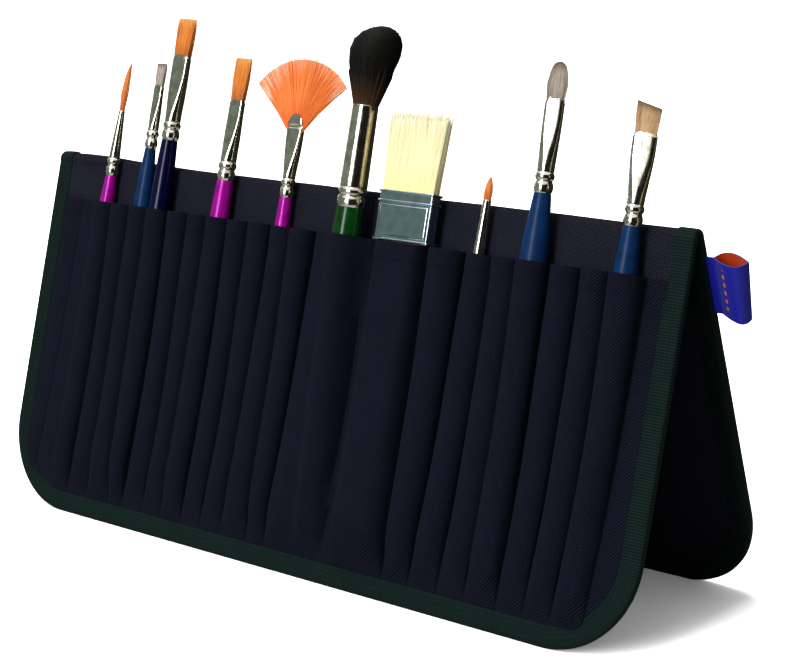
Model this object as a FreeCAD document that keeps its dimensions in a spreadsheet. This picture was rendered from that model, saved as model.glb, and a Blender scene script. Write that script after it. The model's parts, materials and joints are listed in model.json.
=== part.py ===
import FreeCAD, Part
import Sketcher
import math
import os

# Folding brush case: two cloth-covered boards joined by a cloth fold along the ridge, standing like
# a tent, with a pleated strip of brush pockets on the front. Millimetres, +X along the ridge,
# the front panel faces -Y, +Z up, origin at the middle of the front foot on the table.

V = FreeCAD.Vector

case_sizes = {
    # panels, measured down the slope from the hinge axis in the ridge
    "slope_length": 156.0,
    "apex_angle": 33.4,
    "corner_radius": 38.0,
    "board_thickness": 1.4,
    "cloth_thickness": 0.4,
    "tape_thickness": 0.6,
    "tape_face": 8.6,
    "foot_width": 2.2,
    # fold along the ridge
    "hinge_gap": 4.0,
    "closed_half_gap": 0.2,
    "facing_gap": 0.2,
    "fold_clearance": 0.3,
    "fold_wall": 1.0,
    # pocket strip
    "mouth_drop": 16.4,
    "strip_thickness": 0.5,
    "seam_width": 0.8,
    "left_row": 158.86,
    "mop_pocket": 37.25,
    "bristle_pocket": 25.75,
    "spare_pocket": 16.25,
    "right_row": 82.98,
    "end_margin": 7.65,
    "knee_rise": 15.0,
    "pocket_lean_in": 0.15,
    "shift_room": 0.6,
    "empty_knee": 5.0,
    "empty_mouth": 9.0,
    "flat_pocket": 1.6,
    # label loop
    "label_drop": 10.0,
    "label_height": 25.0,
    "label_reach": 18.0,
    "label_tab": 4.0,
    "label_bulge": 4.6,
    "ribbon_thickness": 0.6,
    # what the brushes share
    "butt_rise": 12.0,
    "handle_clearance": 0.3,
    "tenon_length": 9.0,
    "ferrule_wall": 0.4,
    "socket_clearance": 0.05,
    "crimp_start": 1.4,
    "crimp_width": 2.0,
    "crimp_pitch": 3.0,
    "crimp_height": 0.3,
    "taper_start": 12.0,
    "root_depth": 3.0,
    "root_clearance": 0.25,
    "mop_lean": 1.0,
    "bristle_lean": 1.0,
    "slant_angle": 12.0,
    "fan_thickness": 1.4,
    # flat bristle brush: a flat handle in a folded tin ferrule
    "bristle_shoulder": 22.0,
    "bristle_butt": 13.0,
    "bristle_handle": 6.0,
    "bristle_crown": 1.0,
    "bristle_seat": 0.6,
    "bristle_ferrule": 19.6,
    "bristle_wide": 27.0,
    "bristle_deep": 7.0,
    "bristle_bead": 0.5,
    "bead_width": 1.6,
    "bead_drop": 2.5,
    "bristle_hair": 31.7,
    "bristle_spread": 29.5,
    "bristle_tip": 4.0,
}

# Brushes with turned handles: diameters of butt, belly and neck, how far the belly lies below the
# pocket mouth and the neck above it, then the ferrule's length and mouth, and the hair. A snug handle
# has play at each side of its belly instead, and the drop from its belly to its neck.
brush_sizes = {
    "pointed_round": dict(butt=3.6, belly=6.6, neck=5.0, drop=3.0, above=12.0,
                          ferrule=29.3, wide=2.6, deep=2.6, hair=22.1, spread=3.6),
    "small_flat": dict(butt=4.0, play=1.06, neck_drop=1.6, drop=3.0, above=25.8,
                       ferrule=28.7, wide=5.0, deep=2.2, hair=9.1, spread=5.2),
    "large_flat": dict(butt=4.6, play=0.36, neck_drop=1.2, drop=3.0, above=30.3,
                       ferrule=37.3, wide=9.2, deep=3.6, hair=16.1, spread=10.8),
    "medium_flat": dict(butt=4.2, play=0.86, neck_drop=0.7, drop=3.0, above=15.9,
                        ferrule=35.1, wide=7.6, deep=3.0, hair=17.5, spread=8.8),
    "fan": dict(butt=3.8, belly=6.4, neck=5.4, drop=3.0, above=12.0,
                ferrule=29.8, wide=6.6, deep=3.0, hair=28.7, spread=43.0),
    "mop": dict(butt=6.0, belly=12.4, neck=11.2, drop=3.0, above=11.2,
                ferrule=40.9, wide=10.4, deep=10.4, hair=32.3, spread=21.2),
    "detail_round": dict(butt=3.4, belly=5.8, neck=4.5, drop=17.0, above=-5.0,
                         ferrule=25.9, wide=3.2, deep=3.2, hair=9.1, spread=3.7),
    "filbert": dict(butt=4.6, play=0.465, neck_drop=2.1, drop=3.0, above=25.5,
                    ferrule=35.8, wide=7.4, deep=3.2, hair=13.7, spread=7.8),
    "slanted_flat": dict(butt=4.4, play=1.265, neck_drop=1.4, drop=3.0, above=17.3,
                         ferrule=34.2, wide=9.0, deep=2.8, hair=10.3, spread=9.8),
}

# How each brush has settled in its pocket: off the middle at the mouth, and degrees of tilt to the right.
settle = {
    "pointed_round": dict(shift=0.9, tilt=1.2),
    "small_flat": dict(shift=0.5, tilt=-0.4),
    "large_flat": dict(shift=0.0, tilt=0.7),
    "medium_flat": dict(shift=0.3, tilt=0.9),
    "fan": dict(shift=-0.3, tilt=-0.9),
    "mop": dict(shift=3.5, tilt=1.4),
    "bristle": dict(shift=0.2, tilt=-0.2),
    "detail_round": dict(shift=-0.5, tilt=0.7),
    "filbert": dict(shift=0.0, tilt=-0.6),
    "slanted_flat": dict(shift=-0.5, tilt=-0.2),
}

# Each tuft's shape: share of the hair's length, of its spread and, on a flat tuft, of its depth.
round_tuft = [(0.3, 1.0), (0.65, 0.8), (0.9, 0.35), (1.0, 0.08)]
mop_tuft = [(0.25, 0.72), (0.5, 0.95), (0.68, 1.0), (0.85, 0.86), (0.95, 0.58), (1.0, 0.2)]
flat_tuft = [(0.45, 0.93, 0.85), (1.0, 1.0, 0.25)]
filbert_tuft = [(0.4, 1.0, 0.9), (0.75, 0.9, 0.5), (0.93, 0.6, 0.25), (1.0, 0.3, 0.2)]
tufts = {
    "pointed_round": round_tuft,
    "small_flat": flat_tuft,
    "large_flat": flat_tuft,
    "medium_flat": flat_tuft,
    "mop": mop_tuft,
    "detail_round": round_tuft,
    "filbert": filbert_tuft,
    "slanted_flat": flat_tuft,
}

# What each pocket holds, from the left. Between the two rows of equal pockets are three wider ones.
left_pockets = ["flat", "flat", "pointed_round", "empty", "small_flat", "large_flat", "empty", "empty",
                "medium_flat", "empty", "empty", "fan", "empty"]
wide_pockets = ["mop", "bristle", "empty"]
right_pockets = ["detail_round", "empty", "filbert", "empty", "empty", "slanted_flat"]
contents = left_pockets + wide_pockets + right_pockets

# An arched pocket's crown takes no more than these shares of its half width and of its height.
crown_of_width = 0.8
crown_of_height = 0.75
straight_angle = 180.0

doc = FreeCAD.newDocument("brush_case")
sheet = doc.addObject("Spreadsheet::Sheet", "Sizes")
size = {}
nodes = []


def put(name, value):
    row = len(size) + 1
    sheet.set(f"A{row}", name)
    sheet.set(f"B{row}", str(value))
    sheet.setAlias(f"B{row}", name)
    size[name] = value


for name, value in case_sizes.items():
    put(name, value)
for brush, values in brush_sizes.items():
    for field, value in values.items():
        put(f"{brush}_{field}", value)
for brush, values in settle.items():
    for field, value in values.items():
        put(f"{brush}_{field}", value)

# Sizes that follow from the ones above.
pocket_widths = [size["left_row"] / len(left_pockets)] * len(left_pockets)
pocket_widths += [size["mop_pocket"], size["bristle_pocket"], size["spare_pocket"]]
pocket_widths += [size["right_row"] / len(right_pockets)] * len(right_pockets)
for brush, values in brush_sizes.items():
    if "play" in values:
        room = pocket_widths[contents.index(brush)] - size["seam_width"]
        room -= 2 * (size["strip_thickness"] + size["pocket_lean_in"])
        put(f"{brush}_belly", room - 2 * values["play"])
        put(f"{brush}_neck", size[f"{brush}_belly"] - 2 * values["neck_drop"])
half_apex = math.radians(size["apex_angle"] / 2)
inner_face = size["closed_half_gap"] + size["tape_thickness"]
stack = 2 * size["cloth_thickness"] + size["board_thickness"]
put("panel_half", (sum(pocket_widths) + size["end_margin"]) / 2 + size["tape_face"])
put("facing_level", inner_face + stack)
put("edge_middle", inner_face + stack / 2)
put("foot_along", size["foot_width"] * math.sin(half_apex))
put("foot_across", size["foot_width"] * math.cos(half_apex))
put("fold_radius", size["facing_level"] - size["cloth_thickness"] - size["fold_clearance"])
put("fold_sweep", straight_angle - size["apex_angle"])
put("butt_to_mouth", size["slope_length"] - size["tape_face"] - size["mouth_drop"] - size["butt_rise"])
put("cut_margin", 1.0)

seams = [-size["panel_half"] + size["tape_face"]]
for width in pocket_widths:
    seams.append(seams[-1] + width)

# The hinge axis, from the middle of the front foot, and the two panels' places about it.
axis_y = (
    size["slope_length"] * math.sin(half_apex)
    + size["closed_half_gap"] * math.cos(half_apex)
    + size["foot_width"] / 2 * math.cos(2 * half_apex)
)
axis_z = (
    size["slope_length"] * math.cos(half_apex)
    - size["closed_half_gap"] * math.sin(half_apex)
    - size["foot_along"] * math.cos(half_apex)
)
raise_panel = FreeCAD.Rotation(V(1, 0, 0), 90 - size["apex_angle"] / 2)
turn_round = FreeCAD.Rotation(V(0, 0, 1), 180)
front = FreeCAD.Placement(V(0, axis_y, axis_z), raise_panel)
rear = FreeCAD.Placement(V(0, axis_y, axis_z), turn_round * raise_panel)


def number(terms):
    total = 0.0
    sign = 1
    for word in terms.split():
        if word in "+-":
            sign = 1 if word == "+" else -1
        else:
            total += sign * size[word]
    return total


def formula(terms):
    words = [word if word in "+-" else f"Sizes.{word}" for word in terms.split()]
    return " ".join(words)


def keep(obj, label, placement):
    obj.Label = label
    obj.Placement = placement
    nodes.append(obj)


def new_sketch(body, role, offset=None):
    sketch = body.newObject("Sketcher::SketchObject", "Sketch")
    plane = [feature for feature in body.Origin.OriginFeatures if feature.Role == role][0]
    sketch.AttachmentSupport = [(plane, "")]
    sketch.MapMode = "FlatFace"
    if offset:
        sketch.setExpression("AttachmentOffset.Base.z", formula(offset))
    return sketch


def fix_corner(sketch, kind, geometry, point, terms):
    if terms == "axis":
        axis = -2 if kind == "DistanceX" else -1
        sketch.addConstraint(Sketcher.Constraint("PointOnObject", geometry, point, axis))
    else:
        spot = Sketcher.Constraint(kind, -1, 1, geometry, point, number(terms))
        index = sketch.addConstraint(spot)
        sketch.setExpression(f"Constraints[{index}]", formula(terms))


def arc_crown(start, stop, radius, side):
    # The middle of an arc whose centre lies left (1) or right (-1) of its chord.
    chord = stop - start
    across = V(-chord.y, chord.x, 0).normalize() * side
    sagitta = radius - math.sqrt(radius ** 2 - chord.Length ** 2 / 4)
    return (start + stop) / 2 - across * sagitta


def draw(sketch, corners, arcs=None):
    # A closed outline. arcs gives the radius and side of the arc that leaves a corner.
    arcs = arcs or {}
    spots = [V(*(0 if terms == "axis" else number(terms) for terms in corner), 0) for corner in corners]
    edges = []
    for i, start in enumerate(spots):
        stop = spots[(i + 1) % len(spots)]
        if i in arcs:
            radius, side = arcs[i]
            curve = Part.Arc(start, arc_crown(start, stop, number(radius), side), stop)
            geometry = sketch.addGeometry(curve)
            index = sketch.addConstraint(Sketcher.Constraint("Radius", geometry, number(radius)))
            sketch.setExpression(f"Constraints[{index}]", formula(radius))
        else:
            geometry = sketch.addGeometry(Part.LineSegment(start, stop))
        forward = sketch.getPoint(geometry, 1).distanceToPoint(start) < 1e-6
        edges.append((geometry, 1, 2) if forward else (geometry, 2, 1))
    for i, (geometry, first, last) in enumerate(edges):
        after, after_first, _ = edges[(i + 1) % len(edges)]
        sketch.addConstraint(Sketcher.Constraint("Coincident", geometry, last, after, after_first))
        fix_corner(sketch, "DistanceX", geometry, first, corners[i][0])
        fix_corner(sketch, "DistanceY", geometry, first, corners[i][1])


def pad(body, sketch, length):
    feature = body.newObject("PartDesign::Pad", "Pad")
    feature.Profile = sketch
    feature.setExpression("Length", formula(length))


def pocket(body, sketch, length):
    # The cut runs along the sketch's normal, into the solid on that side.
    feature = body.newObject("PartDesign::Pocket", "Pocket")
    feature.Profile = sketch
    feature.Reversed = True
    feature.setExpression("Length", formula(length))


def panel_outline(sketch, top, inset=None):
    # Straight sides and foot with rounded lower corners, drawn in from the tape's outer edge.
    more = f" + {inset}" if inset else ""
    less = f" - {inset}" if inset else ""
    rise = "- slope_length + corner_radius"
    corners = [
        (f"- panel_half{more}", top),
        (f"- panel_half{more}", rise),
        ("- panel_half + corner_radius", f"- slope_length{more}"),
        ("panel_half - corner_radius", f"- slope_length{more}"),
        (f"panel_half{less}", rise),
        (f"panel_half{less}", top),
    ]
    radius = f"corner_radius{less}"
    draw(sketch, corners, {1: (radius, 1), 3: (radius, 1)})


def panel_layer(label, placement, level, thickness, top):
    body = doc.addObject("PartDesign::Body", label)
    sketch = new_sketch(body, "XY_Plane", level)
    panel_outline(sketch, top, "tape_thickness")
    pad(body, sketch, thickness)
    keep(body, label, placement)


def panel(side, placement):
    # A board between two cloths. The outer cloth, the facing, runs on almost to the hinge axis.
    cover = "closed_half_gap + tape_thickness"
    board = f"{cover} + cloth_thickness"
    facing = f"{board} + board_thickness"
    panel_layer(f"{side}_cover", placement, cover, "cloth_thickness", "- hinge_gap")
    panel_layer(f"{side}_board", placement, board, "board_thickness", "- hinge_gap")
    panel_layer(f"{side}_facing", placement, facing, "cloth_thickness", "- facing_gap")


def binding(label, placement):
    # Tape folded over the panel's edge: a frame slotted for the panel, with a flat along its foot.
    body = doc.addObject("PartDesign::Body", label)
    through = "cloth_thickness + board_thickness + cloth_thickness"
    whole = f"tape_thickness + {through} + tape_thickness"
    blank = new_sketch(body, "XY_Plane", "closed_half_gap")
    panel_outline(blank, "- hinge_gap")
    pad(body, blank, whole)
    window = new_sketch(body, "XY_Plane", "closed_half_gap")
    panel_outline(window, "axis", "tape_face")
    pocket(body, window, whole)
    slot = new_sketch(body, "XY_Plane", "closed_half_gap + tape_thickness")
    panel_outline(slot, "axis", "tape_thickness")
    pocket(body, slot, through)
    foot = new_sketch(body, "YZ_Plane", "- panel_half - cut_margin")
    corners = [
        ("- slope_length", "closed_half_gap + foot_across"),
        ("- slope_length - cut_margin", "closed_half_gap + foot_across"),
        ("- slope_length - cut_margin", "closed_half_gap - cut_margin"),
        ("- slope_length + foot_along", "closed_half_gap - cut_margin"),
        ("- slope_length + foot_along", "closed_half_gap"),
    ]
    draw(foot, corners)
    pocket(body, foot, "panel_half + panel_half + cut_margin + cut_margin")
    keep(body, label, placement)


def spine_fold():
    # The cloth that runs over the ridge, a round fold about the hinge axis.
    outside = doc.addObject("Part::Cylinder", "FoldOutside")
    outside.setExpression("Radius", formula("fold_radius"))
    outside.setExpression("Angle", formula("fold_sweep"))
    inside = doc.addObject("Part::Cylinder", "FoldInside")
    inside.setExpression("Radius", formula("fold_radius - fold_wall"))
    for cylinder in (outside, inside):
        cylinder.setExpression("Height", formula("panel_half + panel_half"))
    fold = doc.addObject("Part::Cut", "Fold")
    fold.Base = outside
    fold.Tool = inside
    along_ridge = FreeCAD.Rotation(V(0, 1, 0), V(0, 0, 1), V(1, 0, 0))
    first_edge = FreeCAD.Rotation(V(1, 0, 0), size["apex_angle"] / 2)
    base = V(-size["panel_half"], axis_y, axis_z)
    keep(fold, "spine_fold", FreeCAD.Placement(base, first_edge * along_ridge))


def label_loop():
    # A ribbon folded double and sewn in by its ends, standing open as a lens.
    half = (size["label_reach"] - size["label_tab"]) / 2
    put("label_inset", 2 * size["ribbon_thickness"])
    put("label_radius", (half ** 2 + size["label_bulge"] ** 2) / (2 * size["label_bulge"]))
    inner_half = half - size["label_inset"]
    inner_bulge = size["label_bulge"] - size["ribbon_thickness"]
    put("label_inner_radius", (inner_half ** 2 + inner_bulge ** 2) / (2 * inner_bulge))
    body = doc.addObject("PartDesign::Body", "label_loop")
    sketch = new_sketch(body, "XZ_Plane", "label_drop")
    near = "- panel_half - label_tab"
    tip = "- panel_half - label_reach"
    low = "edge_middle - ribbon_thickness"
    high = "edge_middle + ribbon_thickness"
    outline = [("- panel_half", high), (near, high), (tip, "edge_middle"), (near, low), ("- panel_half", low)]
    draw(sketch, outline, {1: ("label_radius", 1), 2: ("label_radius", 1)})
    hollow = [(f"{near} - label_inset", "edge_middle"), (f"{tip} + label_inset", "edge_middle")]
    draw(sketch, hollow, {0: ("label_inner_radius", 1), 1: ("label_inner_radius", 1)})
    pad(body, sketch, "label_height")
    keep(body, "label_loop", rear)


def lean_of(brush):
    # A tapered handle lies back along the facing. The mop and the bristle brush lean out of their pockets.
    if brush == "bristle":
        return math.radians(size["bristle_lean"])
    butt = size[f"{brush}_butt"]
    taper = (size[f"{brush}_belly"] - butt) / 2
    lean = math.atan(taper / (size["butt_to_mouth"] - size[f"{brush}_drop"] - butt / 2))
    return lean + (math.radians(size["mop_lean"]) if brush == "mop" else 0.0)


def axis_height(brush, along):
    # Height of a brush's axis over the facing, at a distance up from its butt.
    if brush == "bristle":
        seat = size["bristle_deep"] / 2 + size["bristle_bead"]
    else:
        seat = size[f"{brush}_butt"] / 2
    return size["handle_clearance"] + seat + along * math.tan(lean_of(brush))


def brush_place(brush):
    # A brush turns about its axis's point at the pocket's mouth, and its own origin is its butt.
    index = contents.index(brush)
    middle = (seams[index] + seams[index + 1]) / 2 + size[f"{brush}_shift"]
    height = size["facing_level"] + axis_height(brush, size["butt_to_mouth"])
    stand = FreeCAD.Rotation(V(1, 0, 0), math.degrees(lean_of(brush)) - 90)
    turn = FreeCAD.Rotation(V(0, 0, 1), -size[f"{brush}_tilt"]) * stand
    base = V(middle, -size["mouth_drop"], height) - turn.multVec(V(0, 0, size["butt_to_mouth"]))
    return front.multiply(FreeCAD.Placement(base, turn))


def pocket_rise(index):
    # A pocket's outside height at its knee and at its mouth, and the height of its rounded crown.
    # It stands higher by a share of how far its brush lies off the middle there.
    half = pocket_widths[index] / 2
    brush = contents[index]
    if brush == "flat":
        return size["flat_pocket"], size["flat_pocket"], half
    if brush == "empty":
        return size["empty_knee"], size["empty_mouth"], half
    skin = size["handle_clearance"] + size["strip_thickness"]
    shift = size[f"{brush}_shift"]
    butt_shift = shift - size["butt_to_mouth"] * math.tan(math.radians(size[f"{brush}_tilt"]))
    at_knee = axis_height(brush, size["knee_rise"] - size["butt_rise"]) + size["shift_room"] * abs(butt_shift)
    at_mouth = axis_height(brush, size["butt_to_mouth"]) + size["shift_room"] * abs(shift)
    if brush == "bristle":
        over = size["bristle_handle"] / 2 + size["bristle_crown"] + skin
        return at_knee + over, at_mouth + over, size["bristle_crown"]
    over_butt = at_knee + size[f"{brush}_butt"] / 2
    over_belly = at_mouth + size[f"{brush}_belly"] / 2
    return over_butt + 2 * skin, over_belly + skin, half


def strip_line(level, rises, inner):
    # One line of the strip's section: flat seams with an arched pocket between each two.
    skin = size["strip_thickness"]
    wall = skin if inner else 0.0
    base = size["facing_level"] + skin - wall
    land = size["seam_width"] / 2
    last = V(seams[0], level, base)
    edges = []
    for index, rise in enumerate(rises):
        foot_left = seams[index] + land + wall
        foot_right = seams[index + 1] - land - wall
        half = (foot_right - foot_left) / 2 - size["pocket_lean_in"]
        middle = (foot_left + foot_right) / 2
        height = max(rise - skin, 0.0)
        crown = min(crown_of_width * half, crown_of_height * height, pocket_rise(index)[2])
        left = V(middle - half, level, base + height - crown)
        right = V(middle + half, level, base + height - crown)
        start = V(foot_left, level, base)
        stop = V(foot_right, level, base)
        edges.append(Part.LineSegment(last, start))
        edges.append(Part.LineSegment(start, left))
        if height:
            edges.append(Part.Arc(left, V(middle, level, base + height), right))
        else:
            edges.append(Part.LineSegment(left, right))
        edges.append(Part.LineSegment(right, stop))
        last = stop
    edges.append(Part.LineSegment(last, V(size["panel_half"] - size["tape_face"], level, base)))
    return edges


def strip_section(level, rises):
    outer = strip_line(level, rises, False)
    inner = strip_line(level, rises, True)
    sides = [
        Part.LineSegment(outer[0].StartPoint, inner[0].StartPoint),
        Part.LineSegment(outer[-1].EndPoint, inner[-1].EndPoint),
    ]
    return [edge.toShape() for edge in outer + inner + sides]


def pocket_strip():
    # One sheet of cloth, sewn flat along its foot and seams and arched into pockets between them.
    knees, mouths, _ = zip(*(pocket_rise(index) for index in range(len(contents))))
    foot = -size["slope_length"] + size["tape_face"]
    sections = [
        strip_section(foot, [0.0] * len(contents)),
        strip_section(foot + size["knee_rise"], knees),
        strip_section(-size["mouth_drop"], mouths),
    ]
    faces = []
    for lower, upper in zip(sections, sections[1:]):
        faces += [Part.makeRuledSurface(a, b) for a, b in zip(lower, upper)]
    for end in (sections[0], sections[-1]):
        faces.append(Part.Face(Part.Wire(Part.sortEdges(end)[0])))
    skin = Part.makeCompound(faces)
    skin.sewShape()
    solid = Part.makeSolid(Part.Shell(skin.Faces))
    if solid.Volume < 0:
        solid.reverse()
    cloth = doc.addObject("Part::Feature", "StripCloth")
    cloth.Shape = solid
    put("trim_height", max(mouths) + 2 * size["cut_margin"])
    trim = doc.addObject("PartDesign::Body", "StripTrim")
    sketch = new_sketch(trim, "XY_Plane", "facing_level - cut_margin")
    panel_outline(sketch, "axis", "tape_face")
    pad(trim, sketch, "trim_height")
    strip = doc.addObject("Part::Common", "Strip")
    strip.Base = cloth
    strip.Tool = trim
    keep(strip, "pocket_strip", front)


def brush_levels(brush):
    # Levels along a brush, up from its butt: belly, neck and ferrule mouth.
    put(f"{brush}_belly_level", size["butt_to_mouth"] - size[f"{brush}_drop"])
    put(f"{brush}_neck_level", size["butt_to_mouth"] + size[f"{brush}_above"])
    put(f"{brush}_mouth_level", size[f"{brush}_neck_level"] + size[f"{brush}_ferrule"])


def turned_handle(brush):
    # A turned wooden handle: round butt, long taper, belly, and a tenon in the ferrule.
    for field in ("butt", "belly", "neck"):
        put(f"{brush}_{field}_radius", size[f"{brush}_{field}"] / 2)
    rise = size[f"{brush}_neck_level"] - size[f"{brush}_belly_level"]
    draw_in = size[f"{brush}_belly_radius"] - size[f"{brush}_neck_radius"]
    put(f"{brush}_shoulder_radius", (rise ** 2 + draw_in ** 2) / (2 * draw_in))
    body = doc.addObject("PartDesign::Body", f"{brush}_handle")
    sketch = new_sketch(body, "XZ_Plane")
    neck = f"{brush}_neck_level"
    tenon = f"{brush}_neck_radius - ferrule_wall - socket_clearance"
    corners = [
        ("axis", "axis"),
        (f"{brush}_butt_radius", f"{brush}_butt_radius"),
        (f"{brush}_belly_radius", f"{brush}_belly_level"),
        (f"{brush}_neck_radius", neck),
        (tenon, neck),
        (tenon, f"{neck} + tenon_length"),
        ("axis", f"{neck} + tenon_length"),
    ]
    draw(sketch, corners, {0: (f"{brush}_butt_radius", 1), 2: (f"{brush}_shoulder_radius", 1)})
    turned = body.newObject("PartDesign::Revolution", "Revolution")
    turned.Profile = sketch
    turned.ReferenceAxis = (sketch, ["V_Axis"])
    turned.Angle = 360
    keep(body, f"{brush}_handle", brush_place(brush))


def ring(radius, level):
    circle = doc.addObject("Part::Circle", "Ring")
    circle.setExpression("Radius", radius)
    circle.setExpression("Placement.Base.z", level)
    return circle


def oval(half_wide, half_deep, level):
    ellipse = doc.addObject("Part::Ellipse", "Oval")
    ellipse.setExpression("MajorRadius", half_wide)
    ellipse.setExpression("MinorRadius", half_deep)
    ellipse.setExpression("Placement.Base.z", level)
    return ellipse


def section(brush, less, level):
    # A ring or oval the size of the ferrule's mouth, less a wall.
    wide = f"Sizes.{brush}_wide / 2 - {less}"
    if size[f"{brush}_wide"] == size[f"{brush}_deep"]:
        return ring(wide, level)
    return oval(wide, f"Sizes.{brush}_deep / 2 - {less}", level)


def loft(sections):
    feature = doc.addObject("Part::Loft", "Loft")
    feature.Sections = sections
    feature.Solid = True
    feature.Ruled = True
    return feature


def ferrule(brush):
    # A drawn metal tube with two crimps, tapered or pressed flat towards the hair.
    neck = f"Sizes.{brush}_neck / 2"
    base = f"Sizes.{brush}_neck_level"
    outside = [ring(neck, base)]
    for count in range(2):
        start = f"{base} + Sizes.crimp_start + {count} * Sizes.crimp_pitch"
        outside.append(ring(neck, start))
        outside.append(ring(f"{neck} + Sizes.crimp_height", f"{start} + Sizes.crimp_width / 2"))
        outside.append(ring(neck, f"{start} + Sizes.crimp_width"))
    outside.append(ring(neck, f"{base} + Sizes.taper_start"))
    outside.append(section(brush, "0", f"Sizes.{brush}_mouth_level"))
    bore = [
        ring(f"{neck} - Sizes.ferrule_wall", f"{base} - Sizes.cut_margin"),
        ring(f"{neck} - Sizes.ferrule_wall", f"{base} + Sizes.taper_start"),
        section(brush, "Sizes.ferrule_wall", f"Sizes.{brush}_mouth_level + Sizes.cut_margin"),
    ]
    tube = doc.addObject("Part::Cut", "Tube")
    tube.Base = loft(outside)
    tube.Tool = loft(bore)
    keep(tube, f"{brush}_ferrule", brush_place(brush))


def tuft(brush, shape):
    # The hair: a root inside the ferrule, then the tuft's own shape.
    less = "Sizes.ferrule_wall - Sizes.root_clearance"
    mouth = f"Sizes.{brush}_mouth_level"
    sections = [section(brush, less, f"{mouth} - Sizes.root_depth"), section(brush, less, mouth)]
    for along, across, *through in shape:
        level = f"{mouth} + Sizes.{brush}_hair * {along}"
        half = f"Sizes.{brush}_spread / 2 * {across}"
        if through:
            sections.append(oval(half, f"Sizes.{brush}_deep / 2 * {through[0]}", level))
        else:
            sections.append(ring(half, level))
    if brush == "slanted_flat":
        sections[-1].Placement.Rotation = FreeCAD.Rotation(V(0, 1, 0), size["slant_angle"])
    hair = loft(sections)
    keep(hair, f"{brush}_hair", brush_place(brush))


def fan_hair(brush):
    # Hair spread in one thin sheet, its tips on an arc about the ferrule's mouth. The sheet's root is
    # as wide as the oval bore is at the sheet's own depth.
    corner = math.sqrt(size[f"{brush}_hair"] ** 2 - (size[f"{brush}_spread"] / 2) ** 2)
    put(f"{brush}_side_level", size[f"{brush}_mouth_level"] + corner)
    put(f"{brush}_half_spread", size[f"{brush}_spread"] / 2)
    put(f"{brush}_half_thickness", size["fan_thickness"] / 2)
    bore_wide = size[f"{brush}_wide"] / 2 - size["ferrule_wall"]
    bore_deep = size[f"{brush}_deep"] / 2 - size["ferrule_wall"]
    chord = bore_wide * math.sqrt(1 - (size[f"{brush}_half_thickness"] / bore_deep) ** 2)
    put(f"{brush}_root", chord - size["root_clearance"])
    body = doc.addObject("PartDesign::Body", f"{brush}_hair")
    sketch = new_sketch(body, "XZ_Plane", f"- {brush}_half_thickness")
    mouth = f"{brush}_mouth_level"
    corners = [
        (f"- {brush}_root", f"{mouth} - root_depth"),
        (f"{brush}_root", f"{mouth} - root_depth"),
        (f"{brush}_root", mouth),
        (f"{brush}_half_spread", f"{brush}_side_level"),
        (f"- {brush}_half_spread", f"{brush}_side_level"),
        (f"- {brush}_root", mouth),
    ]
    draw(sketch, corners, {3: (f"{brush}_hair", 1)})
    pad(body, sketch, "fan_thickness")
    keep(body, f"{brush}_hair", brush_place(brush))


def block(wide, deep, high, level):
    # A box about the brush's axis.
    box = doc.addObject("Part::Box", "Block")
    box.setExpression("Length", wide)
    box.setExpression("Width", deep)
    box.setExpression("Height", high)
    box.setExpression("Placement.Base.x", f"-({wide}) / 2")
    box.setExpression("Placement.Base.y", f"-({deep}) / 2")
    box.setExpression("Placement.Base.z", level)
    return box


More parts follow.
